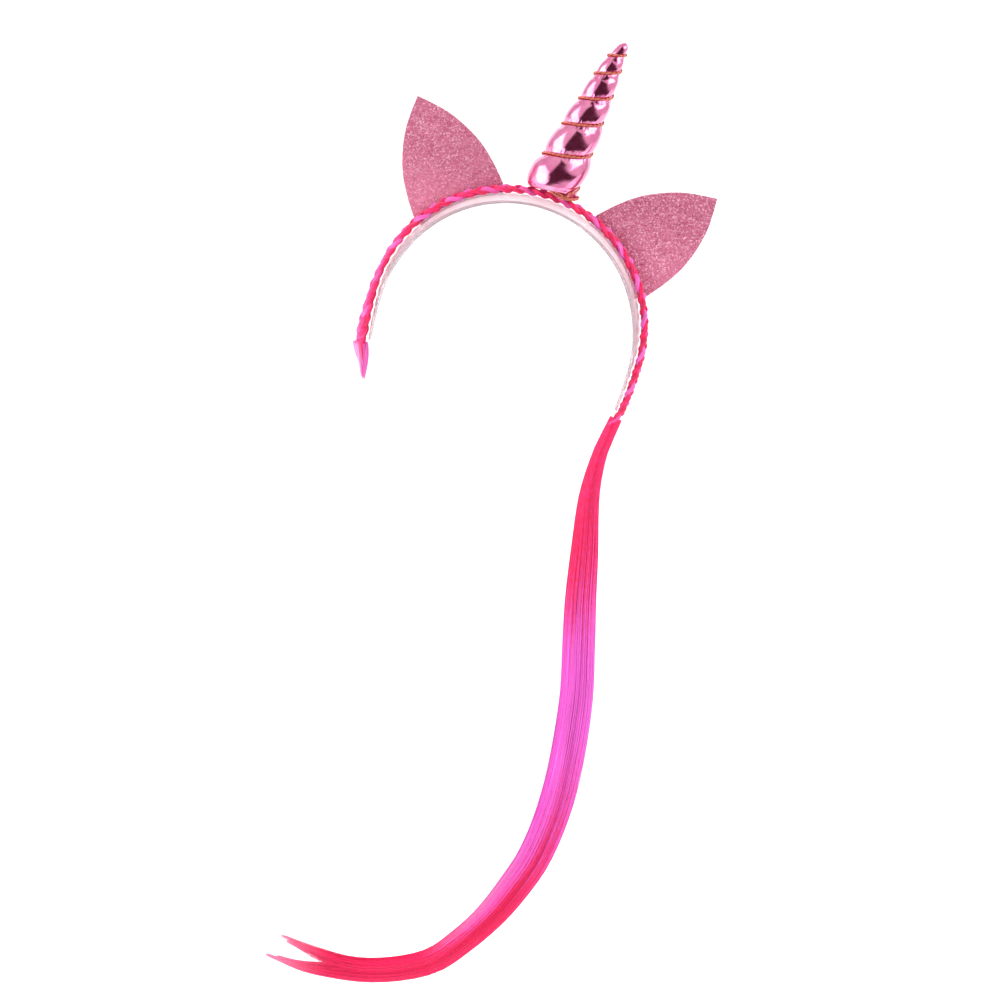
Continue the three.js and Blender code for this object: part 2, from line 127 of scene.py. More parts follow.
class BraidSettings(bpy.types.PropertyGroup):
    width: length("Width", "Across the three strands", 6.8)
    height: length("Height", "Off the hoop", 4.4)
    period: length("Period", "Length in which one strand swings out and back", 19)
    strand_width: length("Strand width", "Across one strand", 3.2)
    strand_height: length("Strand height", "Thickness of one strand", 2.5)
    inset: length("Inset", "From the rear edge of the hoop to the braid", 0.2)
    run_out: length("Run out", "Past the right end of the hoop", 9)
    left_out: length("Left out", "Past the left end of the hoop", 5)
    tuck: length("Tuck", "How far the right end slips in below the hoop", 2.2)
    slack: FloatProperty(
        name="Slack", description="Fullness of the left end, which is not drawn tight", default=1.6,
    )
    slack_length: length("Slack length", "Over which the left end grows that full", 48)
    tuft_length: length("Tuft length", "Loose hair past the left end", 18)
    tuft_width: length("Tuft width", "Widest place of the tuft", 9.4)
    tuft_depth: length("Tuft depth", "Front to back of the tuft", 8)
    hair: length("Hair", "Radius of one hair", 0.17)
    hairs: amount("Hairs", "Hairs that show on one strand", 30)
    tuft_hairs: amount("Tuft hairs", "Hairs of the tuft", 260)
    red_pink: colour("Red pink", "Hair of the first colour", 249, 36, 104)
    orchid: colour("Orchid", "Hair of the second colour", 249, 116, 206)


class TailSettings(bpy.types.PropertyGroup):
    drop: length("Drop", "From the end of the braid down to the lowest lock", 308)
    bow: length("Bow", "Outwards, before it swings back", 25.8)
    sweep: length("Sweep", "Across, from below the braid's end to the tips", 101)
    ahead: length("Ahead", "Towards the brow side", 97)
    width: length("Width", "Across the fullest place", 18.2)
    thickness: length("Thickness", "Front to back", 6)
    root_gap: length("Root gap", "Between the braid's end and the root of the tail", 0.7)
    root_in: length("Root in", "How far the hairs start inside the end of the braid", 5)
    hair: length("Hair", "Radius of one hair", 0.19)
    hairs: amount("Hairs", "Hairs in each of the two layers", 560)
    red_pink: colour("Red pink", "Hair at the root and in the sweep", 252, 20, 96)
    orchid: colour("Orchid", "Hair in the middle of the hanging stretch", 250, 106, 224)


class EarSettings(bpy.types.PropertyGroup):
    height: length("Height", "From the braid to the tip", 55.5)
    width: length("Width", "Across the foot", 52)
    thickness: length("Thickness", "Foam sheet with its glitter face", 1.8)
    left_angle: turned("Left angle", "Lean of the left ear from the crown", -37)
    right_angle: turned("Right angle", "Lean of the right ear from the crown", 42.8)
    edge: length("Edge", "Rounding of the cut edge", 0.3)
    flake: length("Flake", "Radius of one glitter flake", 0.24)
    flakes: FloatProperty(
        name="Flakes", description="Glitter flakes on a square metre", default=1.1e6, min=0,
    )
    rose: colour("Rose", "Main colour of the glitter", 200, 112, 142)
    deep: colour("Deep rose", "Glitter that looks away from the light", 172, 80, 110)
    light: colour("Light rose", "Glitter that catches the light", 230, 164, 188)


class HornSettings(bpy.types.PropertyGroup):
    angle: turned("Angle", "Lean from the crown", 6.5)
    length: length("Length", "From the foot to the tip", 89)
    radius: length("Radius", "Of the widest bulge", 15.2)
    groove: share("Groove", "Depth of the groove as a share of the radius there", 0.16)
    foot_gap: length("Foot gap", "Between the braid and the flat foot", 0.5)
    cord: length("Cord", "Radius of the twisted cord", 0.65)
    foot_cord: length("Foot cord", "Radius of the gathered cord round the foot", 0.9)
    twist: length("Twist", "Length of one turn of the cord's threads", 2.8)
    pleat: length("Pleat", "Height of the gathers beside the cord", 0.3)
    slack: share("Slack", "How much longer the cloth is than its form before it is stuffed", 0.02)
    pressure: FloatProperty(name="Pressure", description="Of the stuffing on the cloth", default=4000, min=0)
    swell: length("Swell", "Farthest that the stuffing moves the cloth", 0.5)
    foil: colour("Foil", "Colour of the metallic cloth", 236, 122, 172)
    # The gold is the lit thread and the copper its painted shade.
    gold: colour("Gold", "Thread of the cord", 221, 141, 112)
    copper: colour("Copper", "Shaded thread of the cord", 187, 82, 71)


class StudioSettings(bpy.types.PropertyGroup):
    distance: length("Distance", "From the camera to the crown of the hoop", 1800)
    elevation: turned("Elevation", "Height of the camera above the level", 8)
    roll: turned("Roll", "Turn of the picture, as the headband leans", 16)
    lens: FloatProperty(name="Lens", description="Focal length", default=120, unit="CAMERA")
    aim_x: FloatProperty(
        name="Aim across", description="Pixel of the crown in the picture, across", default=541.5,
    )
    aim_y: FloatProperty(
        name="Aim down", description="Pixel of the crown in the picture, down", default=203.2,
    )
    floor: colour("Floor", "Plain pale floor", 250, 249, 249)
    room: share("Room", "Brightness of the room that the foil mirrors", 0.9)
    fill: share("Fill", "Brightness of the even light on all that isn't a mirror", 1.02)


def table(columns, rows):
    """Rows of a table, with the names of its columns given once."""
    return [dict(zip(columns.split(), row)) for row in rows]


# Tables of sections, locks and colours, with named columns

HORN_ROWS = table("height radius sag", [
    (0.00, 0.66, 0.02),
    (0.010, 0.61, 0.02),
    (0.018, 0.58, 0.02),
    (0.026, 0.60, 0.04),
    (0.032, 0.75, 0.18),
    (0.042, 0.89, 0.33),
    (0.06, 0.95, 0.38),
    (0.085, 0.98, 0.39),
    (0.13, 0.98, 0.39),
    (0.20, 0.92, 0.33),
    (0.33, 0.81, 0.28),
    (0.45, 0.72, 0.23),
    (0.52, 0.65, 0.21),
    (0.62, 0.565, 0.155),
    (0.72, 0.49, 0.13),
    (0.80, 0.41, 0.10),
    (0.87, 0.32, 0.065),
    (0.93, 0.225, 0.02),
    (0.97, 0.18, -0.03),
    (0.99, 0.12, -0.05),
])

DROOP_ROWS = table("height droop", [
    (0.022, 0),
    (0.026, 0.13),
    (0.030, 0.25),
    (0.036, 0.33),
    (0.042, 0.35),
    (0.06, 0.32),
    (0.085, 0.23),
    (0.13, 0.09),
    (0.20, 0),
])

# Where the groove is after each turn round the horn: -0.4 is its lead-in at the foot.
GROOVE_ROWS = table("turn height", [
    (-0.4, 0.010),
    (0, 0.018),
    (0.25, 0.08),
    (1, 0.245),
    (2, 0.45),
    (3, 0.622),
    (4, 0.79),
    (5, 0.905),
    (6, 0.965),
    (7, 0.99),
])
CORD_TURNS = 5.3
GROOVE_OPENS = 0.3
GROOVE_FADES = 0.6
PUFF = 0.74

EAR_ROWS = table("height width", [
    (0.00, 1.00),
    (0.20, 0.965),
    (0.40, 0.88),
    (0.59, 0.71),
    (0.77, 0.47),
    (0.90, 0.22),
    (1.00, 0.00),
])

# Shares of the tail's own drop, bow, sweep and ahead.
TAIL_ROWS = table("down out sweep ahead", [
    (0.000, 0.00, 0.00, 0.00),
    (0.048, -0.05, 0.00, 0.015),
    (0.120, -0.03, 0.00, 0.06),
    (0.225, 0.22, 0.00, 0.175),
    (0.298, 0.40, 0.00, 0.29),
    (0.367, 0.61, 0.00, 0.42),
    (0.459, 0.87, 0.00, 0.565),
    (0.607, 1.03, 0.00, 0.755),
    (0.715, 0.90, 0.00, 0.86),
    (0.771, 0.68, 0.00, 0.905),
    (0.831, 0.36, 0.00, 0.95),
    (0.887, 0.05, 0.028, 0.98),
    (0.939, 0.00, 0.148, 0.995),
    (0.984, 0.00, 0.436, 1.00),
    (1.000, 0.00, 0.752, 0.98),
    (0.997, 0.00, 1.00, 0.95),
])

TAIL_FULLNESS = table("along width thickness", [
    (0.00, 0.36, 0.72),
    (0.05, 0.46, 0.80),
    (0.12, 0.68, 0.92),
    (0.20, 0.88, 1.00),
    (0.30, 0.97, 1.00),
    (0.50, 1.00, 0.95),
    (0.62, 0.95, 0.85),
    (0.72, 0.80, 0.80),
    (0.88, 0.74, 0.70),
    (1.00, 0.74, 0.60),
])

TAIL_LOCKS = table("across ahead width end spread", [
    (-0.58, 0.12, 0.42, 1.00, -0.25),
    (-0.20, -0.20, 0.44, 0.985, -0.45),
    (0.20, 0.20, 0.44, 0.98, 0.70),
    (0.58, -0.08, 0.42, 0.99, 0.55),
])

# How orchid the tail is on its inner and its outer side: 0 is red pink, 1 is orchid.
TAIL_DYE = table("along inner outer", [
    (0.00, 0.22, 0.22),
    (0.13, 0.22, 0.25),
    (0.20, 0.26, 0.34),
    (0.24, 0.40, 0.50),
    (0.29, 0.72, 0.76),
    (0.345, 1.00, 1.00),
    (0.40, 1.02, 1.00),
    (0.45, 0.98, 0.84),
    (0.505, 0.92, 0.64),
    (0.565, 0.90, 0.46),
    (0.61, 0.88, 0.32),
    (0.665, 0.80, 0.12),
    (0.74, 0.42, 0.02),
    (0.80, 0.08, 0.00),
    (0.88, 0.04, 0.04),
    (0.94, 0.18, 0.20),
    (1.00, 0.32, 0.34),
])

# Soft boxes, in metres across, up and ahead in the picture.
SOFT_BOXES = [
    {
        "name": "soft_left", "across": -1.30, "up": 0.13, "ahead": 0.75,
        "width": 1.0, "height": 2.2, "lean": 33, "watts": 19,
    },
    {
        "name": "soft_right", "across": 1.22, "up": 0.62, "ahead": 0.55,
        "width": 1.3, "height": 1.1, "lean": 0, "watts": 13,
    },
]

TUFT_LOCKS = table("across ahead end", [
    (0.55, 0.15, 0.62),
    (0.05, 0.45, 0.86),
    (-0.50, 0.00, 1.00),
    (0.00, -0.50, 0.92),
])


def cubic(t, start, leave, end, arrive):
    """Smooth run from one value to the next, with the slopes at which it leaves and arrives."""
    return (
        (2 * t**3 - 3 * t**2 + 1) * start + (t**3 - 2 * t**2 + t) * leave
        + (3 * t**2 - 2 * t**3) * end + (t**3 - t**2) * arrive
    )


def read_rows(rows, key, column, at):
    """Smooth values from a table without overshoot, for a number or an array."""
    x = np.array([row[key] for row in rows], float)
    y = np.array([row[column] for row in rows], float)
    slope = np.diff(y) / np.diff(x)
    tangent = np.concatenate([[slope[0]], np.zeros(len(x) - 2), [slope[-1]]])
    product = slope[:-1] * slope[1:]
    rising = product > 0
    tangent[1:-1][rising] = 2 * product[rising] / (slope[:-1] + slope[1:])[rising]
    at = np.clip(np.asarray(at, float), x[0], x[-1])
    i = np.clip(np.searchsorted(x, at, side="right") - 1, 0, len(x) - 2)
    span = x[i + 1] - x[i]
    return cubic((at - x[i]) / span, y[i], span * tangent[i], y[i + 1], span * tangent[i + 1])


def smoothstep(x, low, high):
    t = np.clip((np.asarray(x, float) - low) / (high - low), 0, 1)
    return t * t * (3 - 2 * t)


def mix(a, b, factor):
    return a + (b - a) * factor


def unit(vectors):
    return vectors / np.linalg.norm(vectors, axis=-1, keepdims=True)


class Path:
    """Centripetal spline through points, read by the share of its length."""

    def __init__(self, points, samples=1600):
        points = np.asarray(points, float)
        held = np.vstack([2 * points[0] - points[1], points, 2 * points[-1] - points[-2]])
        at = np.linspace(0, len(points) - 1, samples)
        i = np.minimum(at.astype(int), len(points) - 2)
        t = (at - i)[:, None]
        p0, p1, p2, p3 = (held[i + n] for n in range(4))
        pairs = ((p0, p1), (p1, p2), (p2, p3))
        s0, s1, s2 = (np.sqrt(np.linalg.norm(b - a, axis=1))[:, None] for a, b in pairs)
        leave = s1 * ((p1 - p0) / s0 - (p2 - p0) / (s0 + s1) + (p2 - p1) / s1)
        arrive = s1 * ((p2 - p1) / s1 - (p3 - p1) / (s1 + s2) + (p3 - p2) / s2)
        self.points = cubic(t, p1, leave, p2, arrive)
        steps = np.linalg.norm(np.diff(self.points, axis=0), axis=1)
        self.reach = np.concatenate([[0], np.cumsum(steps)])
        self.length = self.reach[-1]

    def at(self, part):
        where = np.asarray(part, float) * self.length
        return np.stack([np.interp(where, self.reach, self.points[:, n]) for n in range(3)], axis=-1)

    def onward(self, part):
        """Direction along the path."""
        small = 0.002
        part = np.clip(part, small, 1 - small)
        return unit(self.at(part + small) - self.at(part - small))


class Headband:
    """Places on the hoop, the braid, the horn and the tail, worked out from the settings."""

    def __init__(self, scene):
        self.hoop, self.braid, self.tail = scene.hoop_settings, scene.braid_settings, scene.tail_settings
        self.ear, self.horn = scene.ear_settings, scene.horn_settings
        hoop, braid = self.hoop, self.braid
        self.leg_angle = math.asin((hoop.drop - hoop.crown_radius) / hoop.leg_depth)
        share_of = np.linspace(0, 1, 3001)
        line = self.hoop_point(share_of)
        self.turn_shares = share_of
        self.reaches = np.concatenate([[0], np.cumsum(np.linalg.norm(np.diff(line, axis=0), axis=1))])
        self.half = self.reaches[-1] / 2
        self.strip_radius = hoop.width / hoop.turn
        self.rear_edge = self.strip_radius * math.sin(hoop.turn / 2)
        self.rear_rise = self.strip_radius * (1 - math.cos(hoop.turn / 2))
        self.seat_y, self.seat_lift, self.seat_lean = self.on_strip(
            braid.inset + braid.width / 2, hoop.thickness + hoop.rest_gap + braid.height / 2,
        )
        self.braid_start = -self.half - braid.left_out
        self.braid_end = self.half + braid.run_out

    def hoop_angle(self, part):
        """Angle from the crown at a share of the way from the left end to the right end."""
        return (2 * part - 1) * (math.pi / 2 + self.leg_angle)

    def hoop_point(self, part):
        """Point of the underside: a half circle over the crown, then an ellipse down each leg."""
        angle = self.hoop_angle(np.asarray(part, float))
        below = np.abs(angle) - math.pi / 2
        radius = self.hoop.crown_radius
        depth = np.where(below > 0, self.hoop.leg_depth * np.sin(below), -radius * np.cos(angle))
        return np.stack([radius * np.sin(angle), np.zeros_like(angle), -radius - depth], axis=-1)

    def place(self, along, lift, y):
        """Point at a distance along the underside from the crown, lifted off it, at a depth y."""
        along = np.asarray(along, float)
        held = np.clip(along, -self.half, self.half)
        part = np.interp(held + self.half, self.reaches, self.turn_shares)
        angle = self.hoop_angle(part)
        reach = np.where(np.abs(angle) > math.pi / 2, self.hoop.leg_depth, self.hoop.crown_radius)
        out = unit(np.stack(
            [np.sin(angle) / self.hoop.crown_radius, np.zeros_like(angle), np.cos(angle) / reach], axis=-1,
        ))
        onward = np.stack([out[..., 2], np.zeros_like(angle), -out[..., 0]], axis=-1)
        point = self.hoop_point(part) + out * np.asarray(lift)[..., None] + onward * (along - held)[..., None]
        point[..., 1] = y
        return point

    def on_strip(self, forward, height):
        """Depth, lift and lean of a place on the strip's curved cross section."""
        lean = forward / self.strip_radius
        radius = self.strip_radius + height
        lift = self.rear_rise + height - radius * (1 - np.cos(lean))
        return self.rear_edge - radius * np.sin(lean), lift, lean

    def in_braid(self, along, sideways, height):
        """Point of the braid's cross section: sideways towards the brow, and off the hoop."""
        cos, sin = math.cos(self.seat_lean), math.sin(self.seat_lean)
        tuck = self.braid.tuck * smoothstep(along, self.half - TUCK_START, self.braid_end)
        lift = self.seat_lift - sideways * sin + height * cos - tuck
        return self.place(along, lift, self.seat_y - sideways * cos - height * sin)

    def tail_path(self):
        """Middle line of the tail, from the right end of the braid down to its tips."""
        tail = self.tail
        root = self.in_braid(np.array(self.braid_end + tail.root_gap), 0.0, 0.0)
        points = []
        for row in TAIL_ROWS:
            across = tail.bow * row["out"] - tail.sweep * row["sweep"]
            points.append(root + np.array([across, -tail.ahead * row["ahead"], -tail.drop * row["down"]]))
        return Path(points)

    def on_stand(self, points):
        """Points of the horn's own upright frame, put on the braid."""
        lean = self.horn.angle
        lift = self.seat_lift + self.braid.height / 2 + self.horn.foot_gap
        foot = self.place(np.array(self.hoop.crown_radius * lean), lift, self.seat_y)
        cos, sin = math.cos(lean), math.sin(lean)
        x, y, z = points[..., 0], points[..., 1], points[..., 2]
        return foot + np.stack([x * cos + z * sin, y, -x * sin + z * cos], axis=-1)

    def horn_skin(self, turns, from_groove):
        """Radius of the horn at a number of turns up its spiral, pulled in at the groove."""
        height = read_rows(GROOVE_ROWS, "turn", "height", turns)
        full = self.horn.radius * read_rows(HORN_ROWS, "height", "radius", height)
        fade = 1 - smoothstep(turns, CORD_TURNS, CORD_TURNS + GROOVE_FADES)
        start = smoothstep(turns, 0, GROOVE_OPENS)
        bulge = np.abs(np.sin(math.pi * from_groove)) ** PUFF
        return full * (1 - self.horn.groove * fade * start * (1 - bulge))

    def horn_point(self, around, radius, height):
        """Point of the horn in its upright frame, which sags to the left and droops there over the braid."""
        share_of = height / self.horn.length
        sag = self.horn.radius * read_rows(HORN_ROWS, "height", "sag", share_of)
        droop = self.horn.radius * read_rows(DROOP_ROWS, "height", "droop", share_of)
        droop = droop * (0.5 - 0.5 * np.sin(around)) ** 2
        return np.stack([radius * np.sin(around) - sag, -radius * np.cos(around), height - droop], axis=-1)

    def cord_path(self, turns, seat):
        """Middle of the cord, off the floor of the groove along the skin's own normal."""
        def near(around, up):
            height = self.horn.length * read_rows(GROOVE_ROWS, "turn", "height", turns + up)
            return self.horn_point(TAU * turns + around, self.horn_skin(turns + up, 0 * turns), height)

        point = near(0, 0)
        turn_step, climb_step = 0.3, 0.05
        out = unit(np.cross(near(turn_step, 0) - near(-turn_step, 0), near(0, climb_step) - point))
        point = point + seat * out
        point[:, 2] = np.maximum(point[:, 2], self.horn.foot_cord)
        return point


# Node trees written as expressions

class Value:
    """Output of a node. Arithmetic on it adds Math nodes."""

    def __init__(self, graph, socket):
        self.graph, self.socket = graph, socket

    def __add__(self, other):
        return self.graph.math("ADD", self, other)

    def __sub__(self, other):
        return self.graph.math("SUBTRACT", self, other)

    def __rsub__(self, other):
        return self.graph.math("SUBTRACT", other, self)

    def __mul__(self, other):
        return self.graph.math("MULTIPLY", self, other)

    def __truediv__(self, other):
        return self.graph.math("DIVIDE", self, other)

    __radd__ = __add__
    __rmul__ = __mul__


class Graph:
    """A node tree, and the one way in which nodes are added to it."""

    def __init__(self, tree):
        self.tree = tree

    def node(self, kind, settings=None, values=None):
        """Adds a node, with its settings first and then the values or links of its sockets."""
        made = self.tree.nodes.new(kind)
        for name, setting in (settings or {}).items():
            setattr(made, name, setting)
        for name, value in (values or {}).items():
            if isinstance(value, Value):
                self.tree.links.new(value.socket, made.inputs[name])
            else:
                made.inputs[name].default_value = value
        return made

    def read(self, kind, output=0, settings=None, values=None):
        return Value(self, self.node(kind, settings, values).outputs[output])

    def math(self, operation, *values):
        return self.read("ShaderNodeMath", 0, {"operation": operation}, dict(enumerate(values)))

    def vector(self, operation, *values):
        return self.read("ShaderNodeVectorMath", 0, {"operation": operation}, dict(enumerate(values)))

    def scaled(self, vector, scale):
        return self.read("ShaderNodeVectorMath", 0, {"operation": "SCALE"}, {0: vector, "Scale": scale})

    def blend(self, factor, first, second):
        """Mix of two colours, each a Value or three numbers."""
        sides = [tone if isinstance(tone, Value) else (*tone, 1) for tone in (first, second)]
        return self.read("ShaderNodeMix", 2, {"data_type": "RGBA"}, {0: factor, 6: sides[0], 7: sides[1]})

    def between(self, value, low, high, to_low=0.0, to_high=1.0):
        """Smooth step of a value from one range to another."""
        settings = {"interpolation_type": "SMOOTHSTEP"}
        values = {"Value": value, "From Min": low, "From Max": high, "To Min": to_low, "To Max": to_high}
        return self.read("ShaderNodeMapRange", 0, settings, values)

    def noise(self, place, scale, detail=3.0, roughness=0.5):
        values = {"Vector": place, "Scale": scale, "Detail": detail, "Roughness": roughness}
        return self.read("ShaderNodeTexNoise", "Fac", None, values)

    def attribute(self, name):
        return self.read("ShaderNodeAttribute", "Fac", {"attribute_name": name})

    def named(self, name, kind="FLOAT"):
        """Attribute of the points in a geometry tree."""
        return self.read("GeometryNodeInputNamedAttribute", 0, {"data_type": kind}, {"Name": name})

    def dress(self, geometry, material):
        return self.read("GeometryNodeSetMaterial", 0, None, {"Geometry": geometry, "Material": material})


def make_material(name, fixed, varying):
    """Principled finish: fixed values stand on the shader's sockets, and varying ones come from nodes."""
    material = bpy.data.materials.new(name)
    material.use_nodes = True
    shader = material.node_tree.nodes["Principled BSDF"]
    for socket, value in fixed.items():
        shader.inputs[socket].default_value = value
    graph = Graph(material.node_tree)
    place = graph.read("ShaderNodeTexCoord", "Object")
    for socket, value in varying(graph, place).items():
        material.node_tree.links.new(value.socket, shader.inputs[socket])
    return material


def bump(graph, height, distance, strength=1.0):
    values = {"Height": height, "Distance": distance, "Strength": strength}
    return graph.read("ShaderNodeBump", 0, None, values)


def plastic_material(hoop):
    def varying(graph, place):
        haze = graph.noise(place, 160, 4)
        return {
            "Roughness": graph.between(haze, 0.35, 0.75, 0.08, 0.16),
            "Normal": bump(graph, haze, 0.2 * MM, 0.05),
        }

    fixed = {"Base Color": (*hoop.tone, 1), "Transmission Weight": 0.78, "IOR": 1.4, "Coat Weight": 0.3}
    return make_material("clear_plastic", fixed, varying)


def hair_material(name, red_pink, orchid, tip):
    """Smooth shiny hair: the attributes tint, shade and pale say where each colour lies. Pale mixes in the
    tip colour, for paler tips and for painted highlights, and shade, besides a chance tone for each hair,
    lifts some hairs with painted light where they fall in shade.
    """
    def varying(graph, place):
        streak = graph.noise(place, 420, 2)
        tint = graph.attribute("tint") + (streak - 0.5) * 0.35
        dyed = graph.blend(graph.between(tint, 0.1, 0.9), red_pink, orchid)
        # Painted highlight: pale blends towards the tip colour, which paints the tuft's lilac highlights and
        # pales the tail's tips.
        pale_tips_and_highlights = graph.blend(graph.attribute("pale"), dyed, tip)
        lit = graph.attribute("shade") * graph.between(graph.noise(place, 1500, 2), 0.2, 0.8, 0.9, 1.08)
        shaded = graph.scaled(pale_tips_and_highlights, lit)
        return {"Base Color": shaded, "Roughness": graph.between(streak, 0.3, 0.7, 0.3, 0.45)}

    fixed = {"Specular IOR Level": 0.4, "Sheen Weight": 0.12, "Sheen Roughness": 0.4}
    return make_material(name, fixed, varying)


def foil_material(horn):
    def varying(graph, place):
        weave = graph.read("ShaderNodeTexVoronoi", "Distance", None, {"Vector": place, "Scale": 2600.0})
        crease = graph.noise(place, 130, 3, 0.55)
        tone = graph.blend(graph.between(crease, 0.3, 0.7), horn.foil, linear(247, 150, 190))
        return {
            "Base Color": tone,
            "Roughness": graph.between(graph.noise(place, 700, 2), 0.3, 0.7, 0.1, 0.19),
            "Normal": bump(graph, weave * 0.25 + crease, 0.12 * MM, 0.35),
        }

    return make_material("horn_foil", {"Metallic": 1.0, "Coat Weight": 0.5, "Coat Roughness": 0.08}, varying)


def gold_material(horn):
    def varying(graph, place):
        # Painted light: copper paints the shaded thread and gold the lit thread, set by each ply's shade and
        # by glints from noise.
        thread = graph.attribute("shade")
        glint = graph.noise(place, 2400, 2)
        glint_and_shade = graph.between(thread + (glint - 0.5) * 0.6, 0.2, 0.9)
        return {
            "Base Color": graph.blend(glint_and_shade, horn.copper, horn.gold),
            "Roughness": graph.between(glint, 0.3, 0.7, 0.28, 0.5),
            "Metallic": graph.between(glint, 0.3, 0.7, 0.55, 0.9),
            "Normal": bump(graph, glint, 0.1 * MM, 0.5),
        }

    return make_material("gold_thread", {"Sheen Weight": 0.15}, varying)


def glitter_material(name, ear, grain, metal):
    """Grains that each have a tone, a gloss and a lean of their own."""
    def varying(graph, place):
        lean = graph.read("ShaderNodeTexVoronoi", "Color", None, {"Vector": place, "Scale": grain})
        pick = graph.read("ShaderNodeSeparateXYZ", "X", None, {0: lean})
        gloss = graph.read("ShaderNodeSeparateXYZ", "Y", None, {0: lean})
        cloud = graph.noise(place, 240, 3)
        height = graph.read("ShaderNodeSeparateXYZ", "Z", None, {0: place})
        # Painted light: towards the foot of the ear the glitter is drawn lighter and fewer grains take the
        # deep rose, as where more light falls.
        low = graph.between(height, -26 * MM, 14 * MM, 0.4, 0.0)
        deep = graph.blend(graph.between(pick + (cloud - 0.5) * 0.8 + low, 0.05, 0.6), ear.deep, ear.rose)
        tone = graph.scaled(graph.blend(graph.between(pick, 0.72, 0.95), deep, ear.light), 1 + low * 0.34)
        normal = graph.read("ShaderNodeNewGeometry", "Normal")
        tip = graph.scaled(graph.vector("SUBTRACT", lean, (0.5, 0.5, 0.5)), 0.55)
        return {
            "Base Color": tone,
            "Roughness": graph.between(gloss, 0.1, 0.9, 0.22, 0.55),
            "Metallic": graph.between(gloss, 0.5, 0.9, metal * 0.3, metal),
            "Normal": graph.vector("NORMALIZE", graph.vector("ADD", normal, tip)),
        }

    return make_material(name, {"Specular IOR Level": 0.6}, varying)


# Meshes and geometry trees

def line_mesh(name, paths, **attributes):
    """Mesh of open lines, all with as many points, and a named number on each point."""
    lines, steps = paths.shape[:2]
    mesh = bpy.data.meshes.new(name)
    mesh.vertices.add(lines * steps)
    mesh.vertices.foreach_set("co", paths.astype(np.float32).ravel())
    starts = (np.arange(lines)[:, None] * steps + np.arange(steps - 1)[None, :]).ravel()
    mesh.edges.add(len(starts))
    mesh.edges.foreach_set("vertices", np.stack([starts, starts + 1], axis=1).astype(np.int32).ravel())
    for key, values in attributes.items():
        values = np.asarray(values, np.float32)
        if values.ndim and values.shape[-1] == 3:
            layer = mesh.attributes.new(key, "FLOAT_VECTOR", "POINT")
            layer.data.foreach_set("vector", np.broadcast_to(values, (lines, steps, 3)).ravel())
        else:
            layer = mesh.attributes.new(key, "FLOAT", "POINT")
            layer.data.foreach_set("value", np.broadcast_to(values, (lines, steps)).ravel())
    mesh.update()
    return mesh


def grid_mesh(name, rows):
    """Closed skin over rings of points, each ring with as many points as the others."""
    count, sides = rows.shape[:2]
    points = rows.reshape(-1, 3)
    a = (np.arange(count - 1)[:, None] * sides + np.arange(sides)[None, :]).ravel()
    b = (np.arange(count - 1)[:, None] * sides + (np.arange(sides) + 1)[None, :] % sides).ravel()
    faces = np.stack([a, b, b + sides, a + sides], axis=1).tolist()
    points = np.vstack([points, rows[0].mean(axis=0), rows[-1].mean(axis=0)])
    first, last, top = count * sides, count * sides + 1, (count - 1) * sides
    for side in range(sides):
        after = (side + 1) % sides
        faces.append([first, after, side])
        faces.append([last, top + side, top + after])
    mesh = bpy.data.meshes.new(name)
    mesh.from_pydata(points.tolist(), [], faces)
    tidy = bmesh.new()
    tidy.from_mesh(mesh)
    bmesh.ops.recalc_face_normals(tidy, faces=tidy.faces)
    tidy.to_mesh(mesh)
    tidy.free()
    mesh.shade_smooth()
    return mesh


def geometry_graph(name, inputs):
    """Empty geometry tree with named inputs, as (name, socket type) pairs."""
    tree = bpy.data.node_groups.new(name, "GeometryNodeTree")
    tree.interface.new_socket("Geometry", in_out="INPUT", socket_type="NodeSocketGeometry")
    tree.interface.new_socket("Geometry", in_out="OUTPUT", socket_type="NodeSocketGeometry")
    for label, kind in inputs:
        tree.interface.new_socket(label, in_out="INPUT", socket_type=kind)
    graph = Graph(tree)
    entry = graph.node("NodeGroupInput")
    given = {socket.name: Value(graph, socket) for socket in entry.outputs if socket.name}
    return graph, given


def close_graph(graph, geometry, material):
    """Ends a geometry tree: plain geometry, with its material."""
    plain = graph.read("GeometryNodeRealizeInstances", 0, None, {0: geometry})
    graph.node("NodeGroupOutput", None, {0: graph.dress(plain, material)})


def skinned(graph, curves, radius, sides):
    """Round skin along curves, thinner where the point attribute width says so."""
    ring = graph.read("GeometryNodeCurvePrimitiveCircle", 0, None, {"Resolution": sides, "Radius": radius})
    mesh = graph.read("GeometryNodeCurveToMesh", 0, None, {
        "Curve": curves, "Profile Curve": ring, "Scale": graph.named("width"), "Fill Caps": True,
    })
    return graph.read("GeometryNodeSetShadeSmooth", 0, None, {"Geometry": mesh})


def strand_tree():
    """Hairs or threads along given lines."""
    graph, given = geometry_graph("strands_along_lines", [
        ("Radius", "NodeSocketFloat"), ("Sides", "NodeSocketInt"), ("Material", "NodeSocketMaterial"),
    ])
    curves = graph.read("GeometryNodeMeshToCurve", 0, None, {"Mesh": given["Geometry"]})
    close_graph(graph, skinned(graph, curves, given["Radius"], given["Sides"]), given["Material"])
    return graph.tree


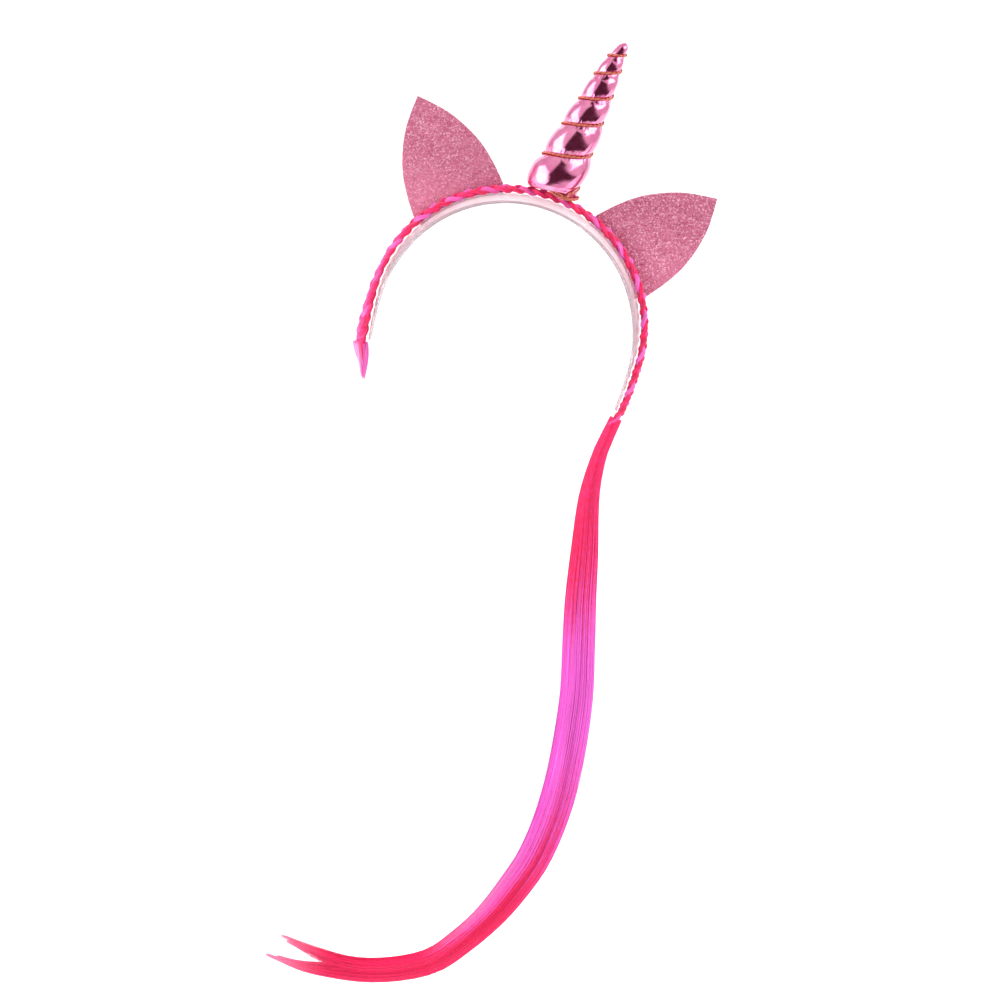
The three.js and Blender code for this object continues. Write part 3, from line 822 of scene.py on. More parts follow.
def braid_tree():
    """Three crossing strands of hairs, worked out from one line along the braid."""
    floats = ["Period", "Swing", "Rise", "Strand Width", "Strand Height", "Fill", "Loose", "Radius"]
    whole = ["Hairs", "Sides", "Seed"]
    graph, given = geometry_graph("three_strand_braid", [
        *((name, "NodeSocketFloat") for name in floats), *((name, "NodeSocketInt") for name in whole),
        ("Material", "NodeSocketMaterial"),
    ])

    def random(low, high, seed):
        values = {2: low, 3: high, "ID": number, "Seed": given["Seed"] + seed}
        return graph.read("FunctionNodeRandomValue", 1, None, values)

    line = graph.read("GeometryNodeMeshToCurve", 0, None, {"Mesh": given["Geometry"]})
    copies = graph.node("GeometryNodeDuplicateElements", {"domain": "SPLINE"}, {
        "Geometry": line, "Amount": given["Hairs"] * 3,
    })
    number = Value(graph, copies.outputs["Duplicate Index"])
    strand = graph.math("MODULO", number, 3.0)
    along, gather, leg = graph.named("along"), graph.named("gather"), graph.named("leg")
    phase = along / given["Period"] * TAU + strand * (TAU / 3)
    lean = random(0.0, TAU, 1) + along * random(-26.0, 26.0, 2)
    spread = given["Fill"] + random(-0.16, 0.0, 3) * given["Fill"]
    drift = graph.math("SINE", along * random(60.0, 210.0, 4) + random(0.0, TAU, 5)) * given["Loose"]
    half_width = given["Strand Width"] * spread * 0.5
    half_height = given["Strand Height"] * (1 + leg * 0.35) * spread * 0.5
    swing = given["Swing"] * graph.math("SINE", phase)
    rise = given["Rise"] * (1 - leg * 0.6) * graph.math("SINE", phase * 2.0)
    sideways = swing + half_width * graph.math("COSINE", lean) + drift
    upwards = rise + half_height * graph.math("SINE", lean) + drift * 0.6
    offset = graph.vector(
        "ADD",
        graph.scaled(graph.named("across", "FLOAT_VECTOR"), sideways * gather),
        graph.scaled(graph.named("off", "FLOAT_VECTOR"), upwards * gather),
    )
    moved = graph.read("GeometryNodeSetPosition", 0, None, {
        "Geometry": Value(graph, copies.outputs["Geometry"]), "Offset": offset,
    })
    second = graph.math("COMPARE", strand, 2.0, 0.5)
    patch = graph.math("SINE", along * 38.0 + strand * 2.4) * 0.2
    crossed = second * 0.75 + patch + 0.06 + graph.math("COSINE", lean) * -0.16
    laid = second * 0.15 + upwards / given["Strand Height"] * 0.8 + 0.22
    tint = crossed * (1 - leg) + laid * leg + random(-0.1, 0.24, 6)
    for name, value in (("tint", tint), ("shade", random(0.82, 1.12, 7))):
        values = {"Geometry": moved, "Name": name, "Value": value}
        moved = graph.read("GeometryNodeStoreNamedAttribute", 0, {"domain": "POINT"}, values)
    close_graph(graph, skinned(graph, moved, given["Radius"], given["Sides"]), given["Material"])
    return graph.tree


def glitter_tree():
    """Small flat flakes, lying at chance leans on the faces of a sheet, with the sheet itself."""
    graph, given = geometry_graph("glitter_flakes", [
        ("Flake", "NodeSocketFloat"), ("Density", "NodeSocketFloat"), ("Seed", "NodeSocketInt"),
        ("Sheet Material", "NodeSocketMaterial"), ("Material", "NodeSocketMaterial"),
    ])
    spread = graph.node("GeometryNodeDistributePointsOnFaces", {"distribute_method": "RANDOM"}, {
        "Mesh": given["Geometry"], "Density": given["Density"], "Seed": given["Seed"],
    })
    corners, tip, lift = 6, 0.5, 0.09 * MM
    flake = graph.read("GeometryNodeMeshCircle", 0, {"fill_type": "NGON"}, {
        "Vertices": corners, "Radius": given["Flake"],
    })
    lean = graph.read("FunctionNodeRandomValue", 0, {"data_type": "FLOAT_VECTOR"}, {
        0: (-tip, -tip, 0.0), 1: (tip, tip, TAU), "Seed": given["Seed"] + 1,
    })
    size = graph.read("FunctionNodeRandomValue", 1, None, {2: 0.55, 3: 1.15, "Seed": given["Seed"] + 2})
    placed = graph.read("GeometryNodeInstanceOnPoints", 0, None, {
        "Points": Value(graph, spread.outputs["Points"]), "Instance": flake,
        "Rotation": Value(graph, spread.outputs["Rotation"]), "Scale": size,
    })
    tipped = graph.read("GeometryNodeRotateInstances", 0, None, {"Instances": placed, "Rotation": lean})
    raised = graph.read("GeometryNodeTranslateInstances", 0, None, {
        "Instances": tipped, "Translation": (0, 0, lift), "Local Space": True,
    })
    flakes = graph.dress(graph.read("GeometryNodeRealizeInstances", 0, None, {0: raised}), given["Material"])
    sheet = graph.dress(given["Geometry"], given["Sheet Material"])
    join = graph.node("GeometryNodeJoinGeometry")
    for part in (flakes, sheet):
        graph.tree.links.new(part.socket, join.inputs[0])
    graph.node("NodeGroupOutput", None, {0: Value(graph, join.outputs[0])})
    return graph.tree


def grow(name, mesh, tree, values):
    """Object whose mesh is what a geometry tree makes of a base mesh."""
    made = bpy.data.objects.new(name, mesh)
    bpy.context.scene.collection.objects.link(made)
    modifier = made.modifiers.new("grow", "NODES")
    modifier.node_group = tree
    sockets = {item.name: item.identifier for item in tree.interface.items_tree if item.in_out == "INPUT"}
    for label, value in values.items():
        modifier[sockets[label]] = value
    view = bpy.context.evaluated_depsgraph_get()
    result = bpy.data.meshes.new_from_object(made.evaluated_get(view))
    made.modifiers.remove(modifier)
    made.data = result
    bpy.data.meshes.remove(mesh)
    result.name = name
    if not result.polygons:
        raise RuntimeError(f"{name} came out without faces")
    return made


def between_points(values, count, axis, closed):
    """Values of a grid, read at twice as many places along one axis."""
    given = values.shape[axis]
    at = np.arange(count) / 2
    low = np.minimum(at.astype(int), given - 1)
    high = (low + 1) % given if closed else np.minimum(low + 1, given - 1)
    part = (at - np.floor(at)).reshape((1, -1, 1) if axis else (-1, 1, 1))
    return mix(np.take(values, low, axis), np.take(values, high, axis), part)


def stuffed(context, rings, held, horn):
    """Rings of a sewn skin after its stuffing has swollen the cloth between the places that are held.

    The cloth is simulated on every second ring and side, and no point moves farther than the swell."""
    coarse, weights = rings[::2, ::2], held[::2, ::2].ravel()
    sack = bpy.data.objects.new("stuffing", grid_mesh("stuffing", coarse))
    context.scene.collection.objects.link(sack)
    group = sack.vertex_groups.new(name="held")
    for index, weight in enumerate(weights):
        group.add([index], float(weight), "REPLACE")
    group.add([len(weights), len(weights) + 1], 1.0, "REPLACE")
    cloth = sack.modifiers.new("stuffing", "CLOTH").settings
    cloth.vertex_group_mass = "held"
    cloth.shrink_min = -horn.slack
    cloth.use_pressure = True
    cloth.uniform_pressure_force = horn.pressure
    cloth.effector_weights.gravity = 0
    for step in range(1, CLOTH_FRAMES + 1):
        context.scene.frame_set(step)
    swollen = sack.evaluated_get(context.evaluated_depsgraph_get()).data
    points = np.empty(3 * len(swollen.vertices), np.float32)
    swollen.vertices.foreach_get("co", points)
    context.scene.frame_set(1)
    mesh = sack.data
    bpy.data.objects.remove(sack)
    bpy.data.meshes.remove(mesh)
    moves = points.reshape(-1, 3)[:len(weights)].reshape(coarse.shape) - coarse
    reach = np.linalg.norm(moves, axis=-1, keepdims=True)
    moves = moves * np.minimum(1, horn.swell / np.maximum(reach, 0.01 * horn.swell))
    moves = (np.roll(moves, 1, axis=1) + 2 * moves + np.roll(moves, -1, axis=1)) / 4
    moves[1:-1] = (moves[:-2] + 2 * moves[1:-1] + moves[2:]) / 4
    return rings + between_points(between_points(moves, len(rings), 0, False), rings.shape[1], 1, True)


def settle(piece, slot, *nodes):
    """Fixes a finished piece to the headband and hides the nodes that it stands for; the slot is not used."""
    if piece.name not in bpy.context.scene.objects:
        bpy.context.scene.collection.objects.link(piece)
    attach(piece, "root")
    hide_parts(*nodes)
    return piece


def solid_piece(name, mesh, material):
    mesh.materials.append(material)
    return bpy.data.objects.new(name, mesh)


# Operators, one for each piece or group of like pieces

class HEADBAND_OT_hoop(bpy.types.Operator):
    """Makes the clear plastic hoop with its rounded edges and ends"""

    bl_idname = "headband.hoop"
    bl_label = "Clear Hoop"

    def execute(self, context):
        band = Headband(context.scene)
        hoop = band.hoop
        stations, end_stations, sides = 480, 9, 64
        blunt, edge_round, face_round = 0.05, 0.5, 0.7
        ends = hoop.nose * (1 - np.sin(np.linspace(0, math.pi / 2, end_stations)))
        body = np.linspace(-band.half + hoop.nose, band.half - hoop.nose, stations)
        along = np.concatenate([-band.half + ends[::-1], body[1:-1], band.half - ends])
        to_end = band.half - np.abs(along)
        width = mix(hoop.end_width, hoop.width, smoothstep(to_end, 0, hoop.taper))
        nose = np.clip((to_end + blunt * hoop.nose) / hoop.nose, 0, 1)
        full = width * np.sqrt(np.clip(1 - (1 - nose) ** 2, 0, 1))
        edge = np.linspace(0, TAU, sides, endpoint=False)
        across = np.sign(np.cos(edge)) * np.abs(np.cos(edge)) ** edge_round
        rise = np.sign(np.sin(edge)) * np.abs(np.sin(edge)) ** face_round
        forward = width[:, None] / 2 + full[:, None] / 2 * across[None, :]
        y, lift, _ = band.on_strip(forward, hoop.thickness * (0.5 + 0.5 * rise[None, :]) + 0 * forward)
        rings = band.place(np.broadcast_to(along[:, None], lift.shape), lift, y)
        piece = solid_piece("clear_hoop", grid_mesh("clear_hoop", rings), plastic_material(hoop))
        settle(piece, "clear_plastic", "hoop")
        return {"FINISHED"}


def braid_line(band):
    """Line along the middle of the braid, with its own directions on each point."""
    braid = band.braid
    step = 1.5 * MM
    right_end, left_end, left_share = 0.75, 0.55, 0.45
    leg_start, leg_full, leg_most, leg_width = 0.42, 0.72, 0.8, 0.2
    along = np.linspace(band.braid_start, band.braid_end, int((band.braid_end - band.braid_start) / step))
    full = mix(braid.slack, 1, smoothstep(along - band.braid_start, 0, braid.slack_length))
    raised = braid.height / 2 * (full - 1)
    middle = band.in_braid(along, 0 * along, raised)
    across = (band.in_braid(along, 0 * along + MM, raised) - middle) / MM
    off = (band.in_braid(along, 0 * along, raised + MM) - middle) / MM
    gather = full * mix(right_end, 1, smoothstep(band.braid_end - along, 0, braid.period / 2))
    gather = gather * mix(left_end, 1, smoothstep(along - band.braid_start, 0, left_share * braid.period))
    leg = leg_most * smoothstep(-along, leg_start * band.half, leg_full * band.half)
    return line_mesh(
        "braid_line", middle[None], along=along, across=across, off=off, gather=gather, leg=leg,
        width=gather * (1 + leg_width * leg), pale=0.0,
    )


class HEADBAND_OT_braid(bpy.types.Operator):
    """Braids three strands of hair along the hoop and leaves a tuft at the left end"""

    bl_idname = "headband.braid"
    bl_label = "Braid and Tuft"

    def execute(self, context):
        band = Headband(context.scene)
        braid = band.braid
        # The last colour is the lilac white that paints the highlights on the tuft.
        material = hair_material("braid_hair", braid.red_pink, braid.orchid, linear(252, 196, 240))
        tree = braid_tree()
        sizes = {
            "Period": braid.period, "Swing": (braid.width - braid.strand_width) / 2,
            "Rise": (braid.height - braid.strand_height) / 2, "Strand Width": braid.strand_width,
            "Strand Height": braid.strand_height, "Seed": 11, "Material": material,
        }
        hairs = grow("braid_hairs", braid_line(band), tree, {
            **sizes, "Fill": 0.96, "Loose": 0.06 * MM, "Radius": braid.hair, "Hairs": braid.hairs,
            "Sides": 3,
        })
        settle(hairs, "braid_hair", "braid")
        cores = grow("braid_cores", braid_line(band), tree, {
            **sizes, "Fill": 0.0, "Loose": 0.0, "Radius": braid.strand_height * 0.42, "Hairs": 1, "Sides": 12,
        })
        settle(cores, "braid_hair", "braid")
        tuft = grow("braid_tuft", self.tuft_lines(band), strand_tree(), {
            "Radius": braid.hair, "Sides": 3, "Material": material,
        })
        settle(tuft, "braid_hair", "braid")
        return {"FINISHED"}

    @staticmethod
    def tuft_lines(band):
        """Hairs of the tuft, which spread in locks and close to a point."""
        braid = band.braid
        start_in, tip_low, lock_share, steps = 3.4 * MM, 2.4 * MM, 0.5, 12
        draw = np.random.default_rng(5)
        count = braid.tuft_hairs
        lock = draw.integers(0, len(TUFT_LOCKS), count)
        pick = {key: np.array([TUFT_LOCKS[n][key] for n in lock]) for key in TUFT_LOCKS[0]}
        reach = np.sqrt(draw.uniform(0, 1, count))
        around = draw.uniform(0, TAU, count)
        end = pick["end"] * draw.uniform(0.72, 1.0, count)
        u = np.linspace(0, 1, steps)[None, :]
        along = mix(band.braid_start + start_in, band.braid_start - braid.tuft_length * end[:, None], u)
        fan = np.sin(math.pi * (0.32 + 0.4 * u)) * (1 - 0.75 * u)
        full = np.sin(math.pi * (0.34 + 0.52 * u))
        in_lock = lock_share * reach * np.cos(around), lock_share * reach * np.sin(around)
        height = braid.tuft_width / 2 * (pick["across"][:, None] * fan + full * in_lock[0][:, None])
        sideways = braid.tuft_depth / 2 * (pick["ahead"][:, None] * fan + full * in_lock[1][:, None])
        raised = (1 - u) * braid.height / 2 * (braid.slack - 1) - tip_low * u
        paths = band.in_braid(along, sideways, height + raised)
        outer = (pick["across"] + in_lock[0])[:, None]
        tint = 0.2 + 0.8 * np.abs(outer) + draw.uniform(-0.2, 0.2, count)[:, None] + 0.55 * u
        near_tip = smoothstep(u, 0.7, 1)
        # Painted light: pale paints lilac white highlights on the outer hairs of the tuft, and shade above
        # one lifts the shade among its hairs.
        return line_mesh(
            "tuft_lines", paths, width=mix(1.3, 0.4, near_tip), tint=tint,
            shade=draw.uniform(0.98, 1.2, count)[:, None] + 0 * u,
            pale=0.8 * smoothstep(u, -0.3, 0.3) * (1 - 0.5 * near_tip) * smoothstep(outer, -0.1, 0.6),
        )


class HEADBAND_OT_tail(bpy.types.Operator):
    """Hangs the loose hair tail from the right end of the braid"""

    bl_idname = "headband.tail"
    bl_label = "Hair Tail"

    def execute(self, context):
        band = Headband(context.scene)
        tail = band.tail
        material = hair_material("tail_hair", tail.red_pink, tail.orchid, linear(255, 150, 185))
        tree = strand_tree()
        for name, seed, depth in (("tail_hairs_front", 21, 1.0), ("tail_hairs_back", 22, -1.0)):
            lines = self.tail_lines(band, seed, depth)
            hairs = grow(name, lines, tree, {"Radius": tail.hair, "Sides": 3, "Material": material})
            settle(hairs, "tail_hair", "hair_tail")
        return {"FINISHED"}

    @staticmethod
    def tail_lines(band, seed, depth):
        """Hairs of one layer, each in its lock: the locks part and close to points at the tips."""
        tail = band.tail
        steps, part_start, close_start, closed, short = 58, 0.89, 0.93, 0.3, 0.1
        root_run, thin_start, thin = 0.035, 0.86, 0.3
        path = band.tail_path()
        draw = np.random.default_rng(seed)
        count = tail.hairs
        lock = draw.integers(0, len(TAIL_LOCKS), count)
        pick = {key: np.array([TAIL_LOCKS[n][key] for n in lock])[:, None] for key in TAIL_LOCKS[0]}
        reach = np.sqrt(draw.uniform(0, 1, count))[:, None]
        around = draw.uniform(0, math.pi, count)[:, None] * depth
        side, front = reach * np.cos(around), reach * np.sin(around)
        end = pick["end"] * (1 - short * draw.uniform(0, 1, count)[:, None] ** 1.6)
        u = np.linspace(0, 1, steps)[None, :]
        along = end * u
        width = tail.width * read_rows(TAIL_FULLNESS, "along", "width", along)
        thick = tail.thickness * read_rows(TAIL_FULLNESS, "along", "thickness", along)
        fan = smoothstep(along / pick["end"], part_start, 1)
        taper = mix(1, closed, smoothstep(along / pick["end"], close_start, 1))
        swings = along * draw.uniform(7, 19, count)[:, None]
        wave = 0.022 * np.sin(swings + draw.uniform(0, TAU, count)[:, None])
        roam = (1 - fan) * draw.uniform(-0.32, 0.32, count)[:, None]
        roam = roam * (1 - np.abs(pick["across"] + side * 0.42))
        in_lock = pick["width"] * taper * side * 1.02 + wave
        across = width / 2 * (pick["across"] + pick["spread"] * fan + in_lock + roam)
        ahead = thick / 2 * (pick["ahead"] * 0.9 + 0.8 * taper * front)
        middle, onward = path.at(along), path.onward(along)
        brow = np.array([0.0, -1.0, 0.0])
        facing = unit(brow - onward * (onward @ brow)[..., None])
        wide = np.cross(onward, facing)
        paths = middle + wide * across[..., None] + facing * ahead[..., None]
        root = band.in_braid(np.array(band.braid_end - tail.root_in), 0.0, 0.0) - path.at(np.array(0.0))
        paths = paths + root * (1 - smoothstep(u, 0, root_run))[..., None]
        from_middle = across / (width / 2)
        dyed = along + draw.uniform(-0.03, 0.03, count)[:, None]
        outer_dye, inner_dye = (read_rows(TAIL_DYE, "along", face, dyed) for face in ("outer", "inner"))
        streak = draw.uniform(-0.3, 0.26, count)[:, None]
        streak = streak * smoothstep(along, 0.12, 0.4) * (1 - smoothstep(along, 0.72, 0.85))
        bend = smoothstep(along, 0.52, 0.66) * (1 - smoothstep(along, 0.7, 0.8))
        # Painted light: shade rises towards the tips to lift the shade among their sparse hairs, and pale
        # fades the tips to the tip colour, partly their own paler ends and partly painted light. Pale also
        # rises on the outer side along the bend.
        return line_mesh(
            "tail_lines", paths, width=mix(1, thin, smoothstep(u, thin_start, 1)),
            tint=mix(outer_dye, inner_dye, smoothstep(from_middle, -0.35, 0.85)) + streak,
            shade=draw.uniform(0.86, 1.1, count)[:, None] + 0.3 * smoothstep(along, 0.9, 1),
            pale=0.8 * smoothstep(along, 0.91, 1) + 0.45 * smoothstep(from_middle, 0.3, 0.9) * bend,
        )


def ear_outline(band):
    """Outline of one ear round the middle of the crown's circle: across and up."""
    ear, hoop = band.ear, band.hoop
    foot = hoop.crown_radius + band.rear_rise
    base = foot + hoop.thickness + hoop.rest_gap + band.braid.height
    half_angle = math.asin(ear.width / 2 / base)
    low, high = base * math.cos(half_angle), base + ear.height
    rows = [[row["width"] * ear.width / 2, mix(low, high, row["height"]), 0] for row in EAR_ROWS]
    side_points, foot_points = 34, 22
    side = Path(rows, 400).at(np.linspace(0, 1, side_points))[:, :2]
    arc = np.linspace(half_angle, -half_angle, foot_points)[1:-1]
    bottom = np.stack([foot * np.sin(arc), foot * np.cos(arc)], axis=1)
    corner = np.array([[foot * math.sin(half_angle), foot * math.cos(half_angle)]])
    mirror = np.array([-1, 1])
    return np.vstack([bottom[::-1], corner, side, (side[:-1] * mirror)[::-1], corner * mirror])


class HEADBAND_OT_ears(bpy.types.Operator):
    """Cuts the two flat ears and strews glitter on them"""

    bl_idname = "headband.ears"
    bl_label = "Glitter Ears"

    def execute(self, context):
        band = Headband(context.scene)
        ear = band.ear
        sheet = glitter_material("glitter_sheet", ear, 1500.0, 0.6)
        flake = glitter_material("glitter_flake", ear, 1100.0, 0.95)
        tree = glitter_tree()
        for name, angle, seed in (("ear_left", ear.left_angle, 31), ("ear_right", ear.right_angle, 32)):
            piece = grow(f"glitter_{name}", self.sheet_mesh(band, angle), tree, {
                "Flake": ear.flake, "Density": ear.flakes, "Seed": seed, "Sheet Material": sheet,
                "Material": flake,
            })
            settle(piece, "ear_glitter", name)
        return {"FINISHED"}

    @staticmethod
    def sheet_mesh(band, angle):
        """Flat sheet behind the braid, cut to the outline and leaned, with its rims rounded."""
        sharp, flat = 1.2, 0.1 * MM
        outline = ear_outline(band)
        ear = band.ear
        back = band.rear_edge + band.hoop.rest_gap + ear.thickness
        made = bmesh.new()
        front = made.faces.new([made.verts.new((x, back - ear.thickness, z)) for x, z in outline])
        grown = bmesh.ops.extrude_face_region(made, geom=[front])
        moved = [part for part in grown["geom"] if isinstance(part, bmesh.types.BMVert)]
        bmesh.ops.translate(made, verts=moved, vec=(0, ear.thickness, 0))
        bmesh.ops.recalc_face_normals(made, faces=made.faces)
        rims = [
            edge for edge in made.edges
            if edge.calc_face_angle() > sharp and abs(edge.verts[0].co.y - edge.verts[1].co.y) < flat
        ]
        bmesh.ops.bevel(made, geom=rims, offset=ear.edge, segments=3, profile=0.5, affect="EDGES")
        turn = Matrix.Translation((0, 0, -band.hoop.crown_radius)) @ Matrix.Rotation(angle, 4, "Y")
        made.transform(turn)
        bmesh.ops.triangulate(made, faces=[face for face in made.faces if len(face.verts) > 4])
        mesh = bpy.data.meshes.new("ear_sheet")
        made.to_mesh(mesh)
        made.free()
        return mesh


class HEADBAND_OT_horn(bpy.types.Operator):
    """Stuffs the foil horn, drawn in by its cord and gathered at its foot"""

    bl_idname = "headband.horn"
    bl_label = "Stuffed Horn"

    def execute(self, context):
        band = Headband(context.scene)
        horn = band.horn
        sides, foot_rows, rows, foot_top, top = 160, 62, 188, 0.08, 0.991
        dome_start, dome_height, dome_least = 0.955, 0.0361, 0.05
        around = (TAU * np.arange(sides) / sides)[None, :]
        part = np.concatenate([np.linspace(0, foot_top, foot_rows), np.linspace(foot_top, top, rows + 1)[1:]])
        height = part[:, None] * np.ones((1, sides))
        spiral = np.linspace(0, GROOVE_ROWS[-1]["turn"], 2000)
        spiral_height = read_rows(GROOVE_ROWS, "turn", "height", spiral)
        turns = np.interp(height, spiral_height, spiral)
        from_groove = turns - around / TAU
        radius = band.horn_skin(turns, from_groove)
        radius = radius + self.pleats(horn, around, height, turns, from_groove)
        dome = np.sqrt(np.clip(1 - ((height - dome_start) / dome_height) ** 2, 0, 1))
        radius = np.where(height > dome_start, radius * np.maximum(dome, dome_least), radius)
        rings = band.on_stand(band.horn_point(around, radius, height * horn.length))
        across = np.abs(from_groove - np.round(from_groove))
        at_groove, at_foot = 1 - smoothstep(across, 0.04, 0.14), 1 - smoothstep(height, 0.03, 0.07)
        held = np.maximum(np.maximum(at_groove, at_foot), smoothstep(height, 0.9, 0.94))
        rings = stuffed(context, rings, held, horn)
        piece = solid_piece("stuffed_horn", grid_mesh("stuffed_horn", rings), foil_material(horn))
        settle(piece, "horn_fabric", "horn")
        return {"FINISHED"}

    @staticmethod
    def pleats(horn, around, height, turns, from_groove):
        """Small gathers of the cloth beside the cord and round the foot."""
        draw = np.random.default_rng(3)
        across = np.abs(from_groove - np.round(from_groove))
        beside = np.exp(-(((across - 0.09) / 0.07) ** 2)) * smoothstep(turns, 0.2, 0.8)
        beside = beside * (1 - smoothstep(turns, CORD_TURNS, CORD_TURNS + 0.5))

        def waves(shift, counts):
            return sum(
                weight * np.sin(count * around + draw.uniform(0, TAU) + shift) for count, weight in counts
            )

        ripple = waves(3 * np.round(from_groove), ((23, 0.5), (31, 0.35), (41, 0.25), (13, 0.3)))
        gather = waves(0, ((17, 0.7), (24, 0.45), (9, 0.35)))
        foot = 0.8 * np.exp(-(((height - 0.022) / 0.014) ** 2)) + 0.9 * (1 - smoothstep(height, 0, 0.014))
        taper = mix(1, 0.35, height)
        return horn.pleat * taper * (0.55 * beside * ripple + 0.9 * foot * gather)


class HEADBAND_OT_cord(bpy.types.Operator):
    """Twists the gold cord, lays it in the groove and wraps it round the foot"""

    bl_idname = "headband.cord"
    bl_label = "Gold Cord"

    def execute(self, context):
        band = Headband(context.scene)
        horn = band.horn
        lead_in, thread = 0.06, 0.42
        turns = np.linspace(GROOVE_ROWS[0]["turn"] + lead_in, CORD_TURNS, 1600)
        spiral = band.on_stand(band.cord_path(turns, band.hoop.rest_gap + horn.cord))
        ring = band.on_stand(self.foot_ring(horn))
        material = gold_material(horn)
        tree = strand_tree()
        cords = ("cord_spiral", spiral, horn.cord), ("cord_foot", ring, horn.foot_cord * 0.62)
        for name, route, size in cords:
            piece = grow(name, self.plies(route, size, horn.twist), tree, {
                "Radius": size * thread, "Sides": 7, "Material": material,
            })
            settle(piece, "gold_cord", "horn_cord")
        return {"FINISHED"}

    @staticmethod
    def foot_ring(horn):
        """Route of the gathered cord, which climbs as it is wound and hangs lower in front."""
        turns, wobble = 2.6, 0.12 * MM
        wraps = np.linspace(0, turns, 700)
        sin, cos = np.sin(TAU * wraps), np.cos(TAU * wraps)
        radius = horn.radius * min(row["radius"] for row in HORN_ROWS[:4]) + 0.85 * horn.foot_cord
        radius = radius + wobble * np.sin(TAU * wraps * 2.3)
        rise = (0.7 + 0.36 * wraps + 0.8 * sin**2 - 1.3 * np.maximum(cos, 0) ** 2) * horn.foot_cord
        sag = horn.radius * HORN_ROWS[0]["sag"]
        return np.stack([radius * sin - sag, -radius * cos, rise], axis=-1)

    @staticmethod
    def plies(route, size, twist):
        """Three threads twisted round a route, each with one tone of painted shade."""
        tones, off_middle, steps_per_twist = [0.55, 0.8, 0.3], 0.52, 9
        path = Path(route, len(route) * 2)
        steps = int(path.length / (twist / steps_per_twist))
        part = np.linspace(0, 1, steps)
        middle, onward = path.at(part), path.onward(part)
        out = unit(np.cross(onward, np.array([0.1, 0.2, 1.0])))
        up = np.cross(out, onward)
        lines = []
        for ply in range(len(tones)):
            angle = TAU * (part * path.length / twist + ply / len(tones))[:, None]
            lines.append(middle + size * off_middle * (out * np.cos(angle) + up * np.sin(angle)))
        shade = np.array(tones)[:, None] + 0 * part[None, :]
        return line_mesh("cord_lines", np.array(lines), width=1.0, shade=shade)


